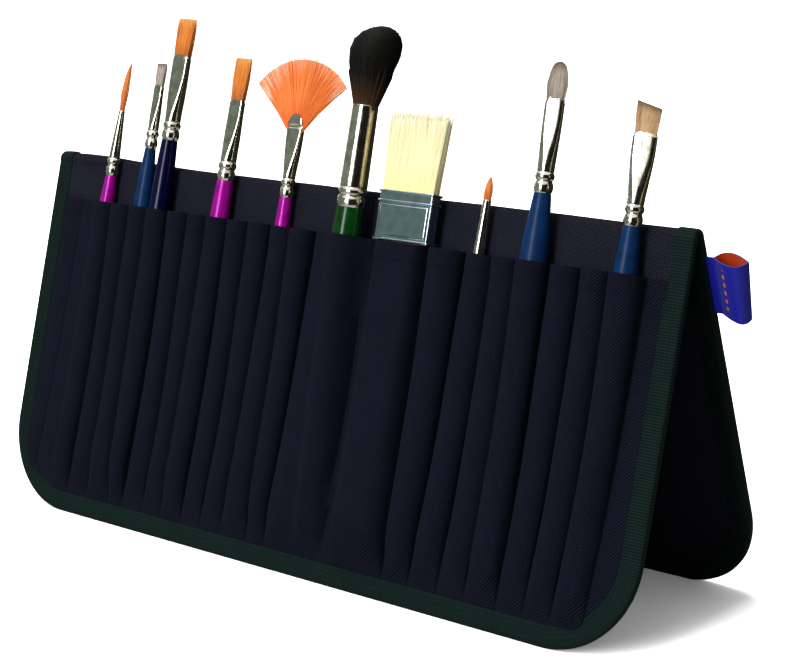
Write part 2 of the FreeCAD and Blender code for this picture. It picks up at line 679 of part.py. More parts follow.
def bristle_brush():
    place = brush_place("bristle")
    put("bristle_neck_level", size["butt_to_mouth"] + size["bristle_seat"])
    put("bristle_mouth_level", size["bristle_neck_level"] + size["bristle_ferrule"])
    put("bristle_half_handle", size["bristle_handle"] / 2)
    put("bristle_half_shoulder", size["bristle_shoulder"] / 2)
    put("bristle_half_butt", size["bristle_butt"] / 2)
    put("bristle_butt_level", size["knee_rise"] - size["butt_rise"])
    body = doc.addObject("PartDesign::Body", "bristle_handle")
    sketch = new_sketch(body, "XZ_Plane", "- bristle_half_handle")
    top = "bristle_neck_level + tenon_length"
    corners = [
        ("- bristle_half_butt", "bristle_butt_level"),
        ("bristle_half_butt", "bristle_butt_level"),
        ("bristle_half_shoulder", "bristle_neck_level"),
        ("bristle_half_shoulder", top),
        ("- bristle_half_shoulder", top),
        ("- bristle_half_shoulder", "bristle_neck_level"),
    ]
    draw(sketch, corners)
    pad(body, sketch, "bristle_handle")
    keep(body, "bristle_handle", place)

    wide = "Sizes.bristle_wide"
    deep = "Sizes.bristle_deep"
    base = "Sizes.bristle_neck_level"
    mouth = "Sizes.bristle_mouth_level"
    bead = "2 * Sizes.bristle_bead"
    low_bead = block(f"{wide} + {bead}", f"{deep} + {bead}", "Sizes.bead_width", base)
    high_level = f"{mouth} - Sizes.bead_drop - Sizes.bead_width"
    high_bead = block(f"{wide} + {bead}", f"{deep} + {bead}", "Sizes.bead_width", high_level)
    outside = doc.addObject("Part::MultiFuse", "TinOutside")
    outside.Shapes = [block(wide, deep, "Sizes.bristle_ferrule", base), low_bead, high_bead]
    wall = "2 * Sizes.ferrule_wall"
    tube = doc.addObject("Part::Cut", "Tin")
    tube.Base = outside
    bore_high = "Sizes.bristle_ferrule + 2 * Sizes.cut_margin"
    tube.Tool = block(f"{wide} - {wall}", f"{deep} - {wall}", bore_high, f"{base} - Sizes.cut_margin")
    keep(tube, "bristle_ferrule", place)

    less = "2 * (Sizes.ferrule_wall + Sizes.root_clearance)"
    root = block(f"{wide} - {less}", f"{deep} - {less}", "Sizes.root_depth", f"{mouth} - Sizes.root_depth")
    flare = doc.addObject("Part::Wedge", "Flare")
    for end, half_x, half_y in (
        ("", f"({wide} - {less}) / 2", f"({deep} - {less}) / 2"),
        ("2", "Sizes.bristle_spread / 2", "Sizes.bristle_tip / 2"),
    ):
        flare.setExpression(f"X{end}min", f"-{half_x}")
        flare.setExpression(f"X{end}max", half_x)
        flare.setExpression(f"Z{end}min", f"-{half_y}")
        flare.setExpression(f"Z{end}max", half_y)
    flare.Ymin = 0
    flare.setExpression("Ymax", "Sizes.bristle_hair")
    flare.Placement.Rotation = FreeCAD.Rotation(V(1, 0, 0), 90)
    flare.setExpression("Placement.Base.z", mouth)
    hair = doc.addObject("Part::MultiFuse", "Bristles")
    hair.Shapes = [root, flare]
    keep(hair, "bristle_hair", place)


for side, place in (("front", front), ("rear", rear)):
    panel(side, place)
    binding(f"{side}_binding", place)
spine_fold()
pocket_strip()
label_loop()
for brush in brush_sizes:
    brush_levels(brush)
    turned_handle(brush)
    ferrule(brush)
    if brush in tufts:
        tuft(brush, tufts[brush])
    else:
        fan_hair(brush)
bristle_brush()
doc.recompute()

faults = [obj.Label for obj in doc.Objects if "Invalid" in obj.State or "Error" in obj.State]
for node in nodes:
    if node.Shape.isNull() or not node.Shape.isValid() or not node.Shape.Solids:
        faults.append(node.Label)
if faults:
    raise RuntimeError("failed: " + ", ".join(faults))
os.makedirs("parts", exist_ok=True)
for node in nodes:
    node.Shape.exportStep(f"parts/{node.Label}.step")
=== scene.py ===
import bpy
import json
import math
import random
import numpy as np
from mathutils import Matrix, Vector


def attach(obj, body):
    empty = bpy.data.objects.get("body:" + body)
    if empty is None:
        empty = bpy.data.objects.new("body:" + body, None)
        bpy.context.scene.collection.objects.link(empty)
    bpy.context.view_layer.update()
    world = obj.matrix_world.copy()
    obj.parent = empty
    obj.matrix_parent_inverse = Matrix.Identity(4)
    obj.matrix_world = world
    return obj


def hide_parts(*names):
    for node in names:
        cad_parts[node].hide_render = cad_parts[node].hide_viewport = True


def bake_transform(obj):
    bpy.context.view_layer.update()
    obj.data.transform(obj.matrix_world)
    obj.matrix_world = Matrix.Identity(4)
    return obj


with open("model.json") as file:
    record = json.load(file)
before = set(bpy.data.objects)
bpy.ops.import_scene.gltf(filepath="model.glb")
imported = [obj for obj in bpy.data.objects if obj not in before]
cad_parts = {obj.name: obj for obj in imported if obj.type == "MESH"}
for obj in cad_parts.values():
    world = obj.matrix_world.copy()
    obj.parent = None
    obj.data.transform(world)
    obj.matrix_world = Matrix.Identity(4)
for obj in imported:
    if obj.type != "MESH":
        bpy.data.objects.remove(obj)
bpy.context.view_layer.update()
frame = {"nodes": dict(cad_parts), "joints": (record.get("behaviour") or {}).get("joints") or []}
scene = bpy.context.scene
scene.view_settings.view_transform = "Standard"
cadNode = frame["nodes"]
print("frame loaded:", len(cadNode), "solids")

mm = 0.001
twoPi = 2 * math.pi
case = {  # the panels, in metres, measured from the hinge axis in the ridge
    "half": 172.97 * mm,
    "slope": 156.0 * mm,
    "corner": 38.0 * mm,
    "tapeFace": 8.6 * mm,
    "innerTape": 0.2 * mm,
    "innerCloth": 0.8 * mm,
    "facing": 3.0 * mm,
    "outerTape": 3.6 * mm,
    "cloth": 0.4 * mm,
    "hingeGap": 4.0 * mm,
    "boardFace": 1.2 * mm,
    "board": 1.4 * mm,
    "boardInset": 1.4 * mm,
    "ridge": 8 * mm,  # cloth that lies over the ridge
}
bunch = {"high": 1.8 * mm, "at": -0.152, "spread": 0.035}  # the cloth is fuller over the ridge's left end
fold = frame["joints"][0]
axisY, axisZ = fold["pos_m"][1], fold["pos_m"][2]
lean = math.radians(-fold["range_deg"][0]) / 2  # each panel's slope from upright
sinLean, cosLean = math.sin(lean), math.cos(lean)
frontPanel = Matrix(((1, 0, 0, 0), (0, sinLean, -cosLean, axisY),
                     (0, cosLean, sinLean, axisZ), (0, 0, 0, 1)))
rng = random.Random(7)


def onFront(x, y, z):  # x along the ridge, y up the slope, z out of the front face
    return np.stack([x, axisY + y * sinLean - z * cosLean, axisZ + y * cosLean + z * sinLean], -1)


def onRear(x, y, z):  # the same on the rear panel
    return np.stack([x, axisY - y * sinLean + z * cosLean, axisZ + y * cosLean + z * sinLean], -1)


def overRidge(x, turn, reach):  # turn 0 is the front face's side of the ridge, 1 the rear's
    angle = lean + turn * (math.pi - 2 * lean)
    return np.stack([x, axisY - reach * np.cos(angle), axisZ + reach * np.sin(angle)], -1)


def bunched(x, turn):
    return bunch["high"] * np.exp(-((x - bunch["at"]) / bunch["spread"]) ** 2) * math.sin(math.pi * turn)


def halfWidth(y, inset):  # half the panel's width at a height, with its rounded lower corners
    radius = case["corner"] - inset
    below = np.clip(-y - (case["slope"] - case["corner"]), 0, radius)
    return case["half"] - case["corner"] + np.sqrt(np.maximum(radius ** 2 - below ** 2, 0))


def deselectAll():
    if bpy.context.object and bpy.context.object.mode != "OBJECT":
        bpy.ops.object.mode_set(mode="OBJECT")
    bpy.ops.object.select_all(action="DESELECT")


def useOnly(obj):
    deselectAll()
    obj.select_set(True)
    bpy.context.view_layer.objects.active = obj


def applyModifier(obj, kind, **settings):
    useOnly(obj)
    modifier = obj.modifiers.new(kind.title(), kind)
    for name, value in settings.items():
        setattr(modifier, name, value)
    bpy.ops.object.modifier_apply(modifier=modifier.name)


def smooth(obj, degrees=40):
    useOnly(obj)
    bpy.ops.object.shade_smooth_by_angle(angle=math.radians(degrees))


def tidyMesh(obj, merge=1e-6):
    useOnly(obj)
    bpy.ops.object.mode_set(mode="EDIT")
    bpy.ops.mesh.select_all(action="SELECT")
    bpy.ops.mesh.remove_doubles(threshold=merge)
    bpy.ops.mesh.normals_make_consistent(inside=False)
    bpy.ops.object.mode_set(mode="OBJECT")


def gridSheet(name, points, flat, material):
    # a grid primitive whose points are laid where the cloth lies; flat is its pattern in metres
    rows, columns = points.shape[:2]
    deselectAll()
    bpy.ops.mesh.primitive_grid_add(x_subdivisions=columns - 1, y_subdivisions=rows - 1, size=1)
    obj = bpy.context.object
    obj.name = obj.data.name = name
    obj.data.vertices.foreach_set("co", points.reshape(-1).astype(np.float32))
    corner = np.zeros(len(obj.data.loops), np.int32)
    obj.data.loops.foreach_get("vertex_index", corner)
    obj.data.uv_layers[0].data.foreach_set("uv", flat.reshape(-1, 2)[corner].astype(np.float32).reshape(-1))
    obj.data.materials.append(material)
    obj.data.update()
    return obj


def meshPiece(name, points, faces, material):
    mesh = bpy.data.meshes.new(name)
    mesh.from_pydata([tuple(p) for p in points], [], faces)
    obj = bpy.data.objects.new(name, mesh)
    scene.collection.objects.link(obj)
    mesh.materials.append(material)
    return obj


def along(points):  # running length of a polyline
    steps = np.linalg.norm(np.diff(points, axis=0), axis=1)
    return np.concatenate([[0.0], np.cumsum(steps)])


def linear(code):
    parts = [int(code[i:i + 2], 16) / 255 for i in (1, 3, 5)]
    return tuple(c / 12.92 if c <= 0.04045 else ((c + 0.055) / 1.055) ** 2.4 for c in parts) + (1.0,)


def feed(tree, node, inputs):  # each takes a value, or a link from a socket or from a node's first output
    for name, value in inputs.items():
        socket = node.inputs[int(name[2:])] if name.startswith("at") else node.inputs[name.replace("_", " ")]
        if isinstance(value, bpy.types.Node):
            value = value.outputs[0]
        if isinstance(value, bpy.types.NodeSocket):
            tree.links.new(value, socket)
        else:
            socket.default_value = value


def addNode(tree, kind, settings=None, stops=(), **inputs):
    node = tree.nodes.new("ShaderNode" + kind)
    for name, value in (settings or {}).items():
        setattr(node, name, value)
    if stops:  # of a colour ramp, each a place and a hex colour or a grey level
        elements = node.color_ramp.elements
        elements.remove(elements[1])
        elements[0].position = stops[0][0]
        for at, shade in stops:
            element = elements[0] if at == stops[0][0] else elements.new(at)
            element.color = linear(shade) if isinstance(shade, str) else (shade, shade, shade, 1)
    feed(tree, node, inputs)
    return node


def newMaterial(name, **constants):
    material = bpy.data.materials.new(name)
    material.use_nodes = True
    shader = material.node_tree.nodes["Principled BSDF"]
    feed(material.node_tree, shader, constants)
    return material, material.node_tree, shader


def twillMaterial(name, dark, light, wale, lint):
    # piece-dyed cotton twill, woven: matte and near black, fine diagonal wales, a little lint
    material, tree, shader = newMaterial(name, Roughness=0.9, Sheen_Weight=0.01,
                                         Sheen_Roughness=0.5, Specular_IOR_Level=0.06,
                                         Sheen_Tint=linear("#8a84a0"))
    flat = addNode(tree, "UVMap")
    waves = addNode(tree, "TexWave", {"bands_direction": "DIAGONAL"}, Vector=flat,
                    Scale=twoPi / (10 * math.sqrt(2) * wale), Distortion=0.6, Detail=1.0,
                    Detail_Scale=2.0).outputs["Fac"]
    slubs = addNode(tree, "TexNoise", Vector=flat, Scale=1 / (14 * mm), Detail=4.0)
    fluff = addNode(tree, "TexNoise", Vector=flat, Scale=1 / (0.9 * mm), Detail=2.0)
    cloth = addNode(tree, "ValToRGB", stops=[(0.35, dark), (0.6, light)], Fac=waves)
    mottle = addNode(tree, "Math", {"operation": "MULTIPLY_ADD"}, at0=slubs, at1=0.4, at2=fluff)
    worn = addNode(tree, "ValToRGB", stops=[(0.52, dark), (0.88, light)], Fac=mottle)
    mixed = addNode(tree, "Mix", {"data_type": "RGBA"}, Factor=lint, at6=cloth, at7=worn).outputs[2]
    height = addNode(tree, "Math", {"operation": "MULTIPLY_ADD"}, at0=fluff, at1=0.35, at2=waves)
    bump = addNode(tree, "Bump", Strength=0.6, Distance=0.15 * mm, Height=height)
    feed(tree, shader, {"Base Color": mixed, "Normal": bump})
    return material


def grosgrainMaterial():
    # polyester grosgrain, woven with thick weft: short ribs in four or five columns, dull green
    material, tree, shader = newMaterial("grosgrainTapeWoven", Roughness=0.8, Sheen_Weight=0.02,
                                         Specular_IOR_Level=0.12, Sheen_Tint=linear("#7fa097"))
    rib, column = 1.1 * mm, 1.9 * mm
    flat = addNode(tree, "UVMap")
    ribs = addNode(tree, "TexWave", {"bands_direction": "X"}, Vector=flat, Scale=twoPi / (20 * rib),
                   Distortion=0.4, Detail=1.0, Detail_Scale=1.5).outputs["Fac"]
    warp = addNode(tree, "TexWave", {"bands_direction": "Y"}, Vector=flat, Scale=twoPi / (20 * column),
                   Distortion=1.2, Detail=1.0).outputs["Fac"]
    patches = addNode(tree, "TexNoise", Vector=flat, Scale=1 / (6 * mm), Detail=3.0)
    columns = addNode(tree, "MapRange", Value=warp, To_Min=0.55)
    knots = addNode(tree, "Math", {"operation": "MULTIPLY"}, at0=ribs, at1=columns)
    base = addNode(tree, "ValToRGB", stops=[(0.05, "#010b0a"), (0.85, "#0a251f")], Fac=knots)
    shade = addNode(tree, "ValToRGB", stops=[(0.3, 0.7), (0.7, 1.0)], Fac=patches)
    colour = addNode(tree, "Mix", {"data_type": "RGBA", "blend_type": "MULTIPLY"}, Factor=0.8,
                     at6=base, at7=shade).outputs[2]
    bump = addNode(tree, "Bump", Strength=0.5, Distance=0.15 * mm, Height=knots)
    feed(tree, shader, {"Base Color": colour, "Normal": bump})
    return material


def ribbonMaterial(name, ground, mark, dashAt):
    # woven satin ribbon: smooth floats with a soft sheen; a plain row of dashes where a mark is given
    dashHalf, dashPitch = 0.7 * mm, 3.3 * mm
    material, tree, shader = newMaterial(name, Roughness=0.45, Sheen_Weight=0.1, Specular_IOR_Level=0.35)
    flat = addNode(tree, "UVMap")
    floats = addNode(tree, "TexWave", {"bands_direction": "Y"}, Vector=flat,
                     Scale=twoPi / (20 * 0.5 * mm), Distortion=0.8, Detail=1.0).outputs["Fac"]
    parts = addNode(tree, "SeparateXYZ", Vector=flat)
    aside = addNode(tree, "Math", {"operation": "COMPARE"}, at0=parts.outputs["X"], at1=dashAt,
                    at2=dashHalf)
    pitch = addNode(tree, "Math", {"operation": "DIVIDE"}, at0=parts.outputs["Y"], at1=dashPitch)
    part = addNode(tree, "Math", {"operation": "FRACT"}, at0=pitch)
    dash = addNode(tree, "Math", {"operation": "LESS_THAN"}, at0=part, at1=0.5)
    inside = addNode(tree, "Math", {"operation": "COMPARE"}, at0=pitch, at1=3.6, at2=2.5)
    row = addNode(tree, "Math", {"operation": "MULTIPLY"}, at0=aside, at1=dash)
    marked = addNode(tree, "Math", {"operation": "MULTIPLY"}, at0=row, at1=inside)
    weave = addNode(tree, "Mix", {"data_type": "RGBA"}, Factor=marked, at6=linear(ground),
                    at7=linear(mark)).outputs[2]
    shade = addNode(tree, "ValToRGB", stops=[(0.1, 0.72), (0.9, 1.0)], Fac=floats)
    colour = addNode(tree, "Mix", {"data_type": "RGBA", "blend_type": "MULTIPLY"}, Factor=0.7,
                     at6=weave, at7=shade).outputs[2]
    bump = addNode(tree, "Bump", Strength=0.25, Distance=0.06 * mm, Height=floats)
    feed(tree, shader, {"Base Color": colour, "Normal": bump})
    return material


def lacquerMaterial(name, dark, light, rough, coat, pearl):
    # dipped lacquer on turned beech: wet-looking coat, slight orange peel, clouds of pearl in some
    material, tree, shader = newMaterial(name, Roughness=rough, Coat_Weight=coat, Coat_Roughness=0.05,
                                         Metallic=pearl, Specular_IOR_Level=0.12)
    place = addNode(tree, "TexCoord").outputs["Object"]
    clouds = addNode(tree, "TexNoise", Vector=place, Scale=1 / (5 * mm), Detail=5.0, Roughness=0.6)
    peel = addNode(tree, "TexNoise", Vector=place, Scale=1 / (1.1 * mm), Detail=1.0)
    tint = addNode(tree, "ValToRGB", stops=[(0.3, dark), (0.7, light)], Fac=clouds)
    bump = addNode(tree, "Bump", Strength=0.06, Distance=0.05 * mm, Height=peel)
    feed(tree, shader, {"Base Color": tint, "Normal": bump})
    return material


def metalMaterial(name, dark, light, rough, grain):
    # drawn brass tube, nickel plated, or tinned sheet: bright, with faint drawing lines and dull spots
    material, tree, shader = newMaterial(name, Metallic=1.0)
    place = addNode(tree, "TexCoord").outputs["Object"]
    drawn = addNode(tree, "Mapping", Vector=place, Scale=(1.0, 1.0, 0.12))
    lines = addNode(tree, "TexNoise", Vector=drawn, Scale=1 / grain, Detail=3.0)
    spots = addNode(tree, "TexNoise", Vector=place, Scale=1 / (3.5 * mm), Detail=4.0)
    tint = addNode(tree, "ValToRGB", stops=[(0.3, dark), (0.62, light)], Fac=spots)
    wear = addNode(tree, "MapRange", Value=lines, From_Min=0.3, From_Max=0.7, To_Min=rough * 0.7,
                   To_Max=rough * 1.5)
    bump = addNode(tree, "Bump", Strength=0.06, Distance=0.04 * mm, Height=lines)
    feed(tree, shader, {"Base Color": tint, "Roughness": wear, "Normal": bump})
    return material


def hairMaterial(name, root, middle, tip, spread, streak, gloss=0.3):
    # streaks strand by strand, from root to tip; v of the UV runs along the hair, u across it in metres
    material, tree, shader = newMaterial(name, Roughness=0.65, Specular_IOR_Level=gloss)
    flat = addNode(tree, "UVMap")
    parts = addNode(tree, "SeparateXYZ", Vector=flat)
    drawn = addNode(tree, "Mapping", Vector=flat, Scale=(1 / (0.45 * mm), 2.5, 1.0))
    strands = addNode(tree, "TexNoise", Vector=drawn, Scale=1.0, Detail=3.0)
    moved = addNode(tree, "Math", {"operation": "MULTIPLY_ADD"}, at0=strands, at1=spread,
                    at2=parts.outputs["Y"])
    shifted = addNode(tree, "Math", {"operation": "SUBTRACT"}, at0=moved, at1=spread / 2)
    body = addNode(tree, "ValToRGB", stops=[(0.0, root), (0.4, middle), (0.72, middle), (1.0, tip)],
                   Fac=shifted)
    shade = addNode(tree, "ValToRGB", stops=[(0.32, streak), (0.6, 1.0)], Fac=strands)
    colour = addNode(tree, "Mix", {"data_type": "RGBA", "blend_type": "MULTIPLY"}, Factor=0.85,
                     at6=body, at7=shade).outputs[2]
    bump = addNode(tree, "Bump", Strength=0.4, Distance=0.2 * mm, Height=strands)
    feed(tree, shader, {"Base Color": colour, "Normal": bump})
    return material


def plainGrainMaterial(name, dark, light, grain, rough, stretch=1.0):
    # fibrous stuff: sewing thread, grey board or bare beech, with its own grain in the colour and the bump
    material, tree, shader = newMaterial(name, Roughness=rough, Specular_IOR_Level=0.1)
    place = addNode(tree, "TexCoord").outputs["Object"]
    drawn = addNode(tree, "Mapping", {"vector_type": "TEXTURE"}, Vector=place,
                    Rotation=frontPanel.to_euler(), Scale=(1.0, stretch, 1.0))
    fibres = addNode(tree, "TexNoise", Vector=drawn, Scale=1 / grain, Detail=5.0)
    tint = addNode(tree, "ValToRGB", stops=[(0.3, dark), (0.7, light)], Fac=fibres)
    bump = addNode(tree, "Bump", Strength=0.2, Distance=0.1 * mm, Height=fibres)
    feed(tree, shader, {"Base Color": tint, "Normal": bump})
    return material


# the wales are drawn a little coarse so that they show
twill = twillMaterial("cottonTwillWoven", "#000107", "#191b29", 1.04 * mm, 0.22)
# painted light: this copy of the same cotton twill is painted lighter than the strip's, standing in for more
# light on the facing and inside the tent
paintedLighterTwill = twillMaterial("cottonTwillPaintedLighter", "#03040b", "#262733", 0.95 * mm, 0.4)
grosgrain = grosgrainMaterial()
ribbonOutside = ribbonMaterial("satinRibbonBlue", "#0a119a", "#c8743a", 11 * mm)
ribbonInside = ribbonMaterial("satinRibbonOrange", "#c8440f", "#c8440f", 11 * mm)
thread = plainGrainMaterial("spunPolyesterThread", "#06060a", "#0e0e15", 0.5 * mm, 0.8)
greyBoard = plainGrainMaterial("pressedGreyBoard", "#7d705c", "#a3957d", 2.0 * mm, 0.9)
beech = plainGrainMaterial("oiledBeechSawn", "#b98b55", "#d6ad77", 1.2 * mm, 0.55, 16.0)
nickel = metalMaterial("nickelPlatedBrassDrawn", "#c4baa2", "#eee9df", 0.11, 0.8 * mm)
tin = metalMaterial("tinnedSheetFolded", "#a9bdc9", "#c0d0da", 0.1, 1.2 * mm)
lacquer = {
    "magenta": lacquerMaterial("lacquerPearlMagenta", "#86067a", "#b00fa0", 0.35, 0.25, 0.3),
    "blue": lacquerMaterial("lacquerSatinBlue", "#032045", "#052f5c", 0.4, 0.05, 0.0),
    "navy": lacquerMaterial("lacquerGlossNavy", "#00021d", "#020636", 0.25, 0.2, 0.0),
    "green": lacquerMaterial("lacquerGlossGreen", "#012a08", "#04400f", 0.25, 0.35, 0.0),
}
hairLook = {
    "orange": hairMaterial("hairGoldenSynthetic", "#cc6420", "#ea863c", "#dc7c3c", 0.25, 0.65),
    "rust": hairMaterial("hairRussetSynthetic", "#c46c20", "#e88830", "#f2a456", 0.35, 0.5),
    "fan": hairMaterial("hairFanSynthetic", "#e8600f", "#fb883a", "#ffead0", 0.35, 0.72),
    "brown": hairMaterial("hairGreyMauveSynthetic", "#aa9e8e", "#b6aa9a", "#6a4c40", 0.45, 0.5),
    "beige": hairMaterial("hairBeigeSynthetic", "#dcb486", "#d2ac80", "#4e382c", 0.55, 0.5),
    "black": hairMaterial("hairSoftBlack", "#4c3220", "#0f0e0b", "#0f100d", 0.5, 0.35, 0.1),
    "cream": hairMaterial("hogBristleBleached", "#fdf0b2", "#fff6c6", "#fffce2", 0.3, 0.9, 0.2),
}
print("materials made:", len(bpy.data.materials))

# front facing, ridge and rear facing in one piece
caseCloth = {"columns": 70, "panelRows": 44, "ridgeRows": 13, "inset": 0.7 * mm, "ripple": 0.18 * mm,
             "liningRipple": 0.15 * mm, "tuckedIn": 2 * mm}


def rippleAt(x, y, seed):
    return (np.sin(x * 61 + seed) * np.sin(y * 83 + 2 * seed) + 0.5 * np.sin(x * 143 + y * 57 + seed)) * 0.5


def panelRows(place, ys, across, inset, level):  # rows of points over one panel, and the same rows laid flat
    rows, flat = [], []
    for y in ys:
        x = across * halfWidth(np.array(y), inset)
        rows.append(place(x, np.full_like(x, y), level(x, y)))
        flat.append(np.stack([x, np.full_like(x, y)], -1))
    return rows, flat


def bendAtRidge(obj):  # bakes the piece's transform into its mesh
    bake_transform(obj)


def makeCaseCloth():
    inset, ripple, facing = caseCloth["inset"], caseCloth["ripple"], case["facing"]
    ys = np.linspace(-(case["slope"] - inset), 0.0, caseCloth["panelRows"])
    across = np.linspace(-1, 1, caseCloth["columns"])
    edge = case["half"] - inset
    rows, flat = panelRows(onFront, ys, across, inset, lambda x, y: facing + ripple * rippleAt(x, y, 1.0))
    for turn in np.linspace(0, 1, caseCloth["ridgeRows"])[1:-1]:
        x = across * edge
        rows.append(overRidge(x, turn, facing + ripple * rippleAt(x, turn, 2.0) + bunched(x, turn)))
        flat.append(np.stack([x, np.full_like(x, turn * case["ridge"])], -1))
    rear, rearFlat = panelRows(onRear, ys[::-1], across, inset,
                               lambda x, y: facing + ripple * rippleAt(x, y, 3.0))
    flat += [row * np.array([1, -1]) + np.array([0, case["ridge"]]) for row in rearFlat]
    cloth = gridSheet("caseCloth", np.array(rows + rear), np.array(flat), paintedLighterTwill)
    applyModifier(cloth, "SOLIDIFY", thickness=case["cloth"], offset=-1.0)
    smooth(cloth, 60)
    bendAtRidge(cloth)
    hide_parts("front_facing", "rear_facing", "spine_fold")


def makeLining(name, place, body, node, seed):
    inset = caseCloth["inset"]
    ys = np.linspace(-(case["slope"] - inset), -case["hingeGap"] + caseCloth["tuckedIn"], 40)
    rows, flat = panelRows(place, ys, np.linspace(-1, 1, 60), inset,
                           lambda x, y: case["innerCloth"] - caseCloth["liningRipple"] * rippleAt(x, y, seed))
    # the linings take the lighter twill copy: painted light inside the tent
    lining = gridSheet(name, np.array(rows), np.array(flat), paintedLighterTwill)
    applyModifier(lining, "SOLIDIFY", thickness=case["cloth"], offset=1.0 if place is onFront else -1.0)
    smooth(lining, 60)
    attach(lining, body)
    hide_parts(node)


def makeBoard(name, place, body, node):
    ys = np.linspace(-(case["slope"] - case["boardInset"]), -case["hingeGap"] - 1 * mm, 24)
    rows, flat = panelRows(place, ys, np.linspace(-1, 1, 24), case["boardInset"],
                           lambda x, y: np.full_like(x, case["boardFace"]))
    board = gridSheet(name, np.array(rows), np.array(flat), greyBoard)
    applyModifier(board, "SOLIDIFY", thickness=case["board"], offset=1.0 if place is onFront else -1.0)
    tidyMesh(board)
    smooth(board, 30)
    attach(board, body)
    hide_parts(node)


makeCaseCloth()
makeLining("frontLining", onFront, "front_panel", "front_cover", 4.0)
makeLining("rearLining", onRear, "rear_panel", "rear_cover", 5.0)
makeBoard("frontBoard", onFront, "front_panel", "front_board")
makeBoard("rearBoard", onRear, "rear_panel", "rear_board")
print("cloth over both panels and the ridge")

strip = {
    "foot": -147.4 * mm,
    "mouth": -16.4 * mm,
    "knee": 24.0 * mm,
    "skin": 0.5 * mm,
    "seam": 0.8 * mm,
    "leanIn": 0.15 * mm,
    "leftRow": (13, 158.86 * mm),
    "wide": (37.25 * mm, 25.75 * mm, 16.25 * mm),
    "rightRow": (6, 82.98 * mm),
    "footDrift": -4.6 * mm,  # the folds run aside towards their feet
    "empty": (5.0, 9.0),  # height of a pocket at its knee and at its mouth, in mm
    "flat": (1.6, 1.6),
    "wallPoints": 4,
    "crownPoints": 17,
    "slack": 9.5 * mm,  # half width of the loose bulge beside the mop, then its height
    "bulge": 7.0 * mm,
    "mopFold": 8.4 * mm,  # half width of the fold round the mop's handle
    "buttClear": 1.3,  # in mm
    "bristleDrift": -1.5 * mm,
    "sway": 0.25 * mm,
    "bearing": 0.75 * mm,  # from a handle's surface to the middle of the cloth
    "hem": 7.0 * mm,
    "hemStep": 0.22 * mm,
    "stitchDrop": 2.7 * mm,
}
pocketRise = {  # pockets that hold a brush, counted from the left: height at knee and mouth, in mm
    3: (6.50, 8.30), 5: (6.75, 9.49), 6: (7.44, 10.61), 9: (7.10, 9.77), 12: (6.68, 7.74),
    13: (6.5, 9.2), 14: (7.4, 15.9), 15: (11.2, 12.2), 16: (8.0, 11.0), 17: (6.51, 7.42),
    19: (7.33, 12.04), 22: (6.41, 10.71),
}
flatPockets = (1, 2)

brushes = {  # place at the pocket's mouth, lean and tilt in degrees, then sizes up from the mouth, in mm
    "pointed_round": dict(pocket=3, x=-132.92, high=3.663, lean=0.753, tilt=1.2, butt=3.6, belly=6.6,
                          neck=5.0, drop=3.0, above=12.0, ferrule=29.3, wide=2.6, deep=2.6, hair=22.1,
                          spread=3.6, lacquer="magenta", look="orange", kind="round", hook=1.6),
    "small_flat": dict(pocket=5, x=-108.88, high=4.388, lean=1.005, tilt=-0.4, butt=4.0, belly=8.0, neck=4.8,
                       drop=3.0, above=25.8, ferrule=28.7, wide=5.0, deep=2.2, hair=9.1, spread=6.2,
                       lacquer="blue", look="brown", kind="flat"),
    "large_flat": dict(pocket=6, x=-97.16, high=5.112, lean=1.209, tilt=0.7, butt=4.6, belly=9.4, neck=7.0,
                       drop=3.0, above=30.3, ferrule=37.3, wide=9.2, deep=3.6, hair=16.1, spread=11.2,
                       lacquer="navy", look="rust", kind="flat"),
    "medium_flat": dict(pocket=9, x=-60.2, high=4.594, lean=1.056, tilt=0.9, butt=4.2, belly=8.4, neck=7.0,
                        drop=3.0, above=15.9, ferrule=35.1, wide=7.6, deep=3.0, hair=17.5, spread=10.0,
                        lacquer="magenta", look="rust", kind="flat"),
    "fan": dict(pocket=12, x=-24.14, high=3.556, lean=0.653, tilt=-0.9, butt=3.8, belly=6.4, neck=5.4,
                drop=3.0, above=12.0, ferrule=29.8, wide=6.6, deep=3.0, hair=28.7, spread=43.0,
                lacquer="magenta", look="fan", kind="fan"),
    "mop": dict(pocket=14, x=16.615, high=8.75, lean=2.622, tilt=1.4, butt=6.0, belly=12.4, neck=11.2,
                drop=3.0, above=11.2, ferrule=40.9, wide=10.4, deep=10.4, hair=32.3, spread=21.2,
                lacquer="green", look="black", kind="mop", hook=4.5),
    "detail_round": dict(pocket=17, x=80.155, high=3.424, lean=0.685, tilt=0.7, butt=3.4, belly=5.8, neck=4.5,
                         drop=17.0, above=-5.0, ferrule=25.9, wide=3.2, deep=3.2, hair=9.1, spread=3.7,
                         lacquer="magenta", look="orange", kind="round", plain=True),
    "filbert": dict(pocket=19, x=108.315, high=5.845, lean=1.562, tilt=-0.6, butt=4.6, belly=10.8, neck=6.6,
                    drop=3.0, above=25.5, ferrule=35.8, wide=7.4, deep=3.2, hair=13.7, spread=7.8,
                    lacquer="blue", look="brown", kind="filbert", turn=21.0, line=19.0),
    "slanted_flat": dict(pocket=22, x=149.305, high=5.01, lean=1.208, tilt=-0.2, butt=4.4, belly=9.2,
                         neck=6.4, drop=3.0, above=17.3, ferrule=34.2, wide=9.0, deep=2.8, hair=10.3,
                         spread=9.8, lacquer="blue", look="beige", kind="slanted", turn=21.0),
}
buttToMouth = 119.0  # in mm, the same for every brush
bristle = dict(pocket=15, x=44.815, high=6.377, lean=1.0, tilt=-0.2, shoulder=22.0, butt=13.0, thick=4.8,
               seat=0.6, ferrule=19.6, wide=27.0, deep=5.4, bead=0.55, hair=31.7, spread=29.5, tip=3.4,
               lift=3.0, strands=900)  # lift keeps its butt off the pocket's foot


def pocketSeams():
    widths = [strip["leftRow"][1] / strip["leftRow"][0]] * strip["leftRow"][0]
    widths += list(strip["wide"])
    widths += [strip["rightRow"][1] / strip["rightRow"][0]] * strip["rightRow"][0]
    return np.concatenate([[0], np.cumsum(widths)]) - case["half"] + case["tapeFace"]


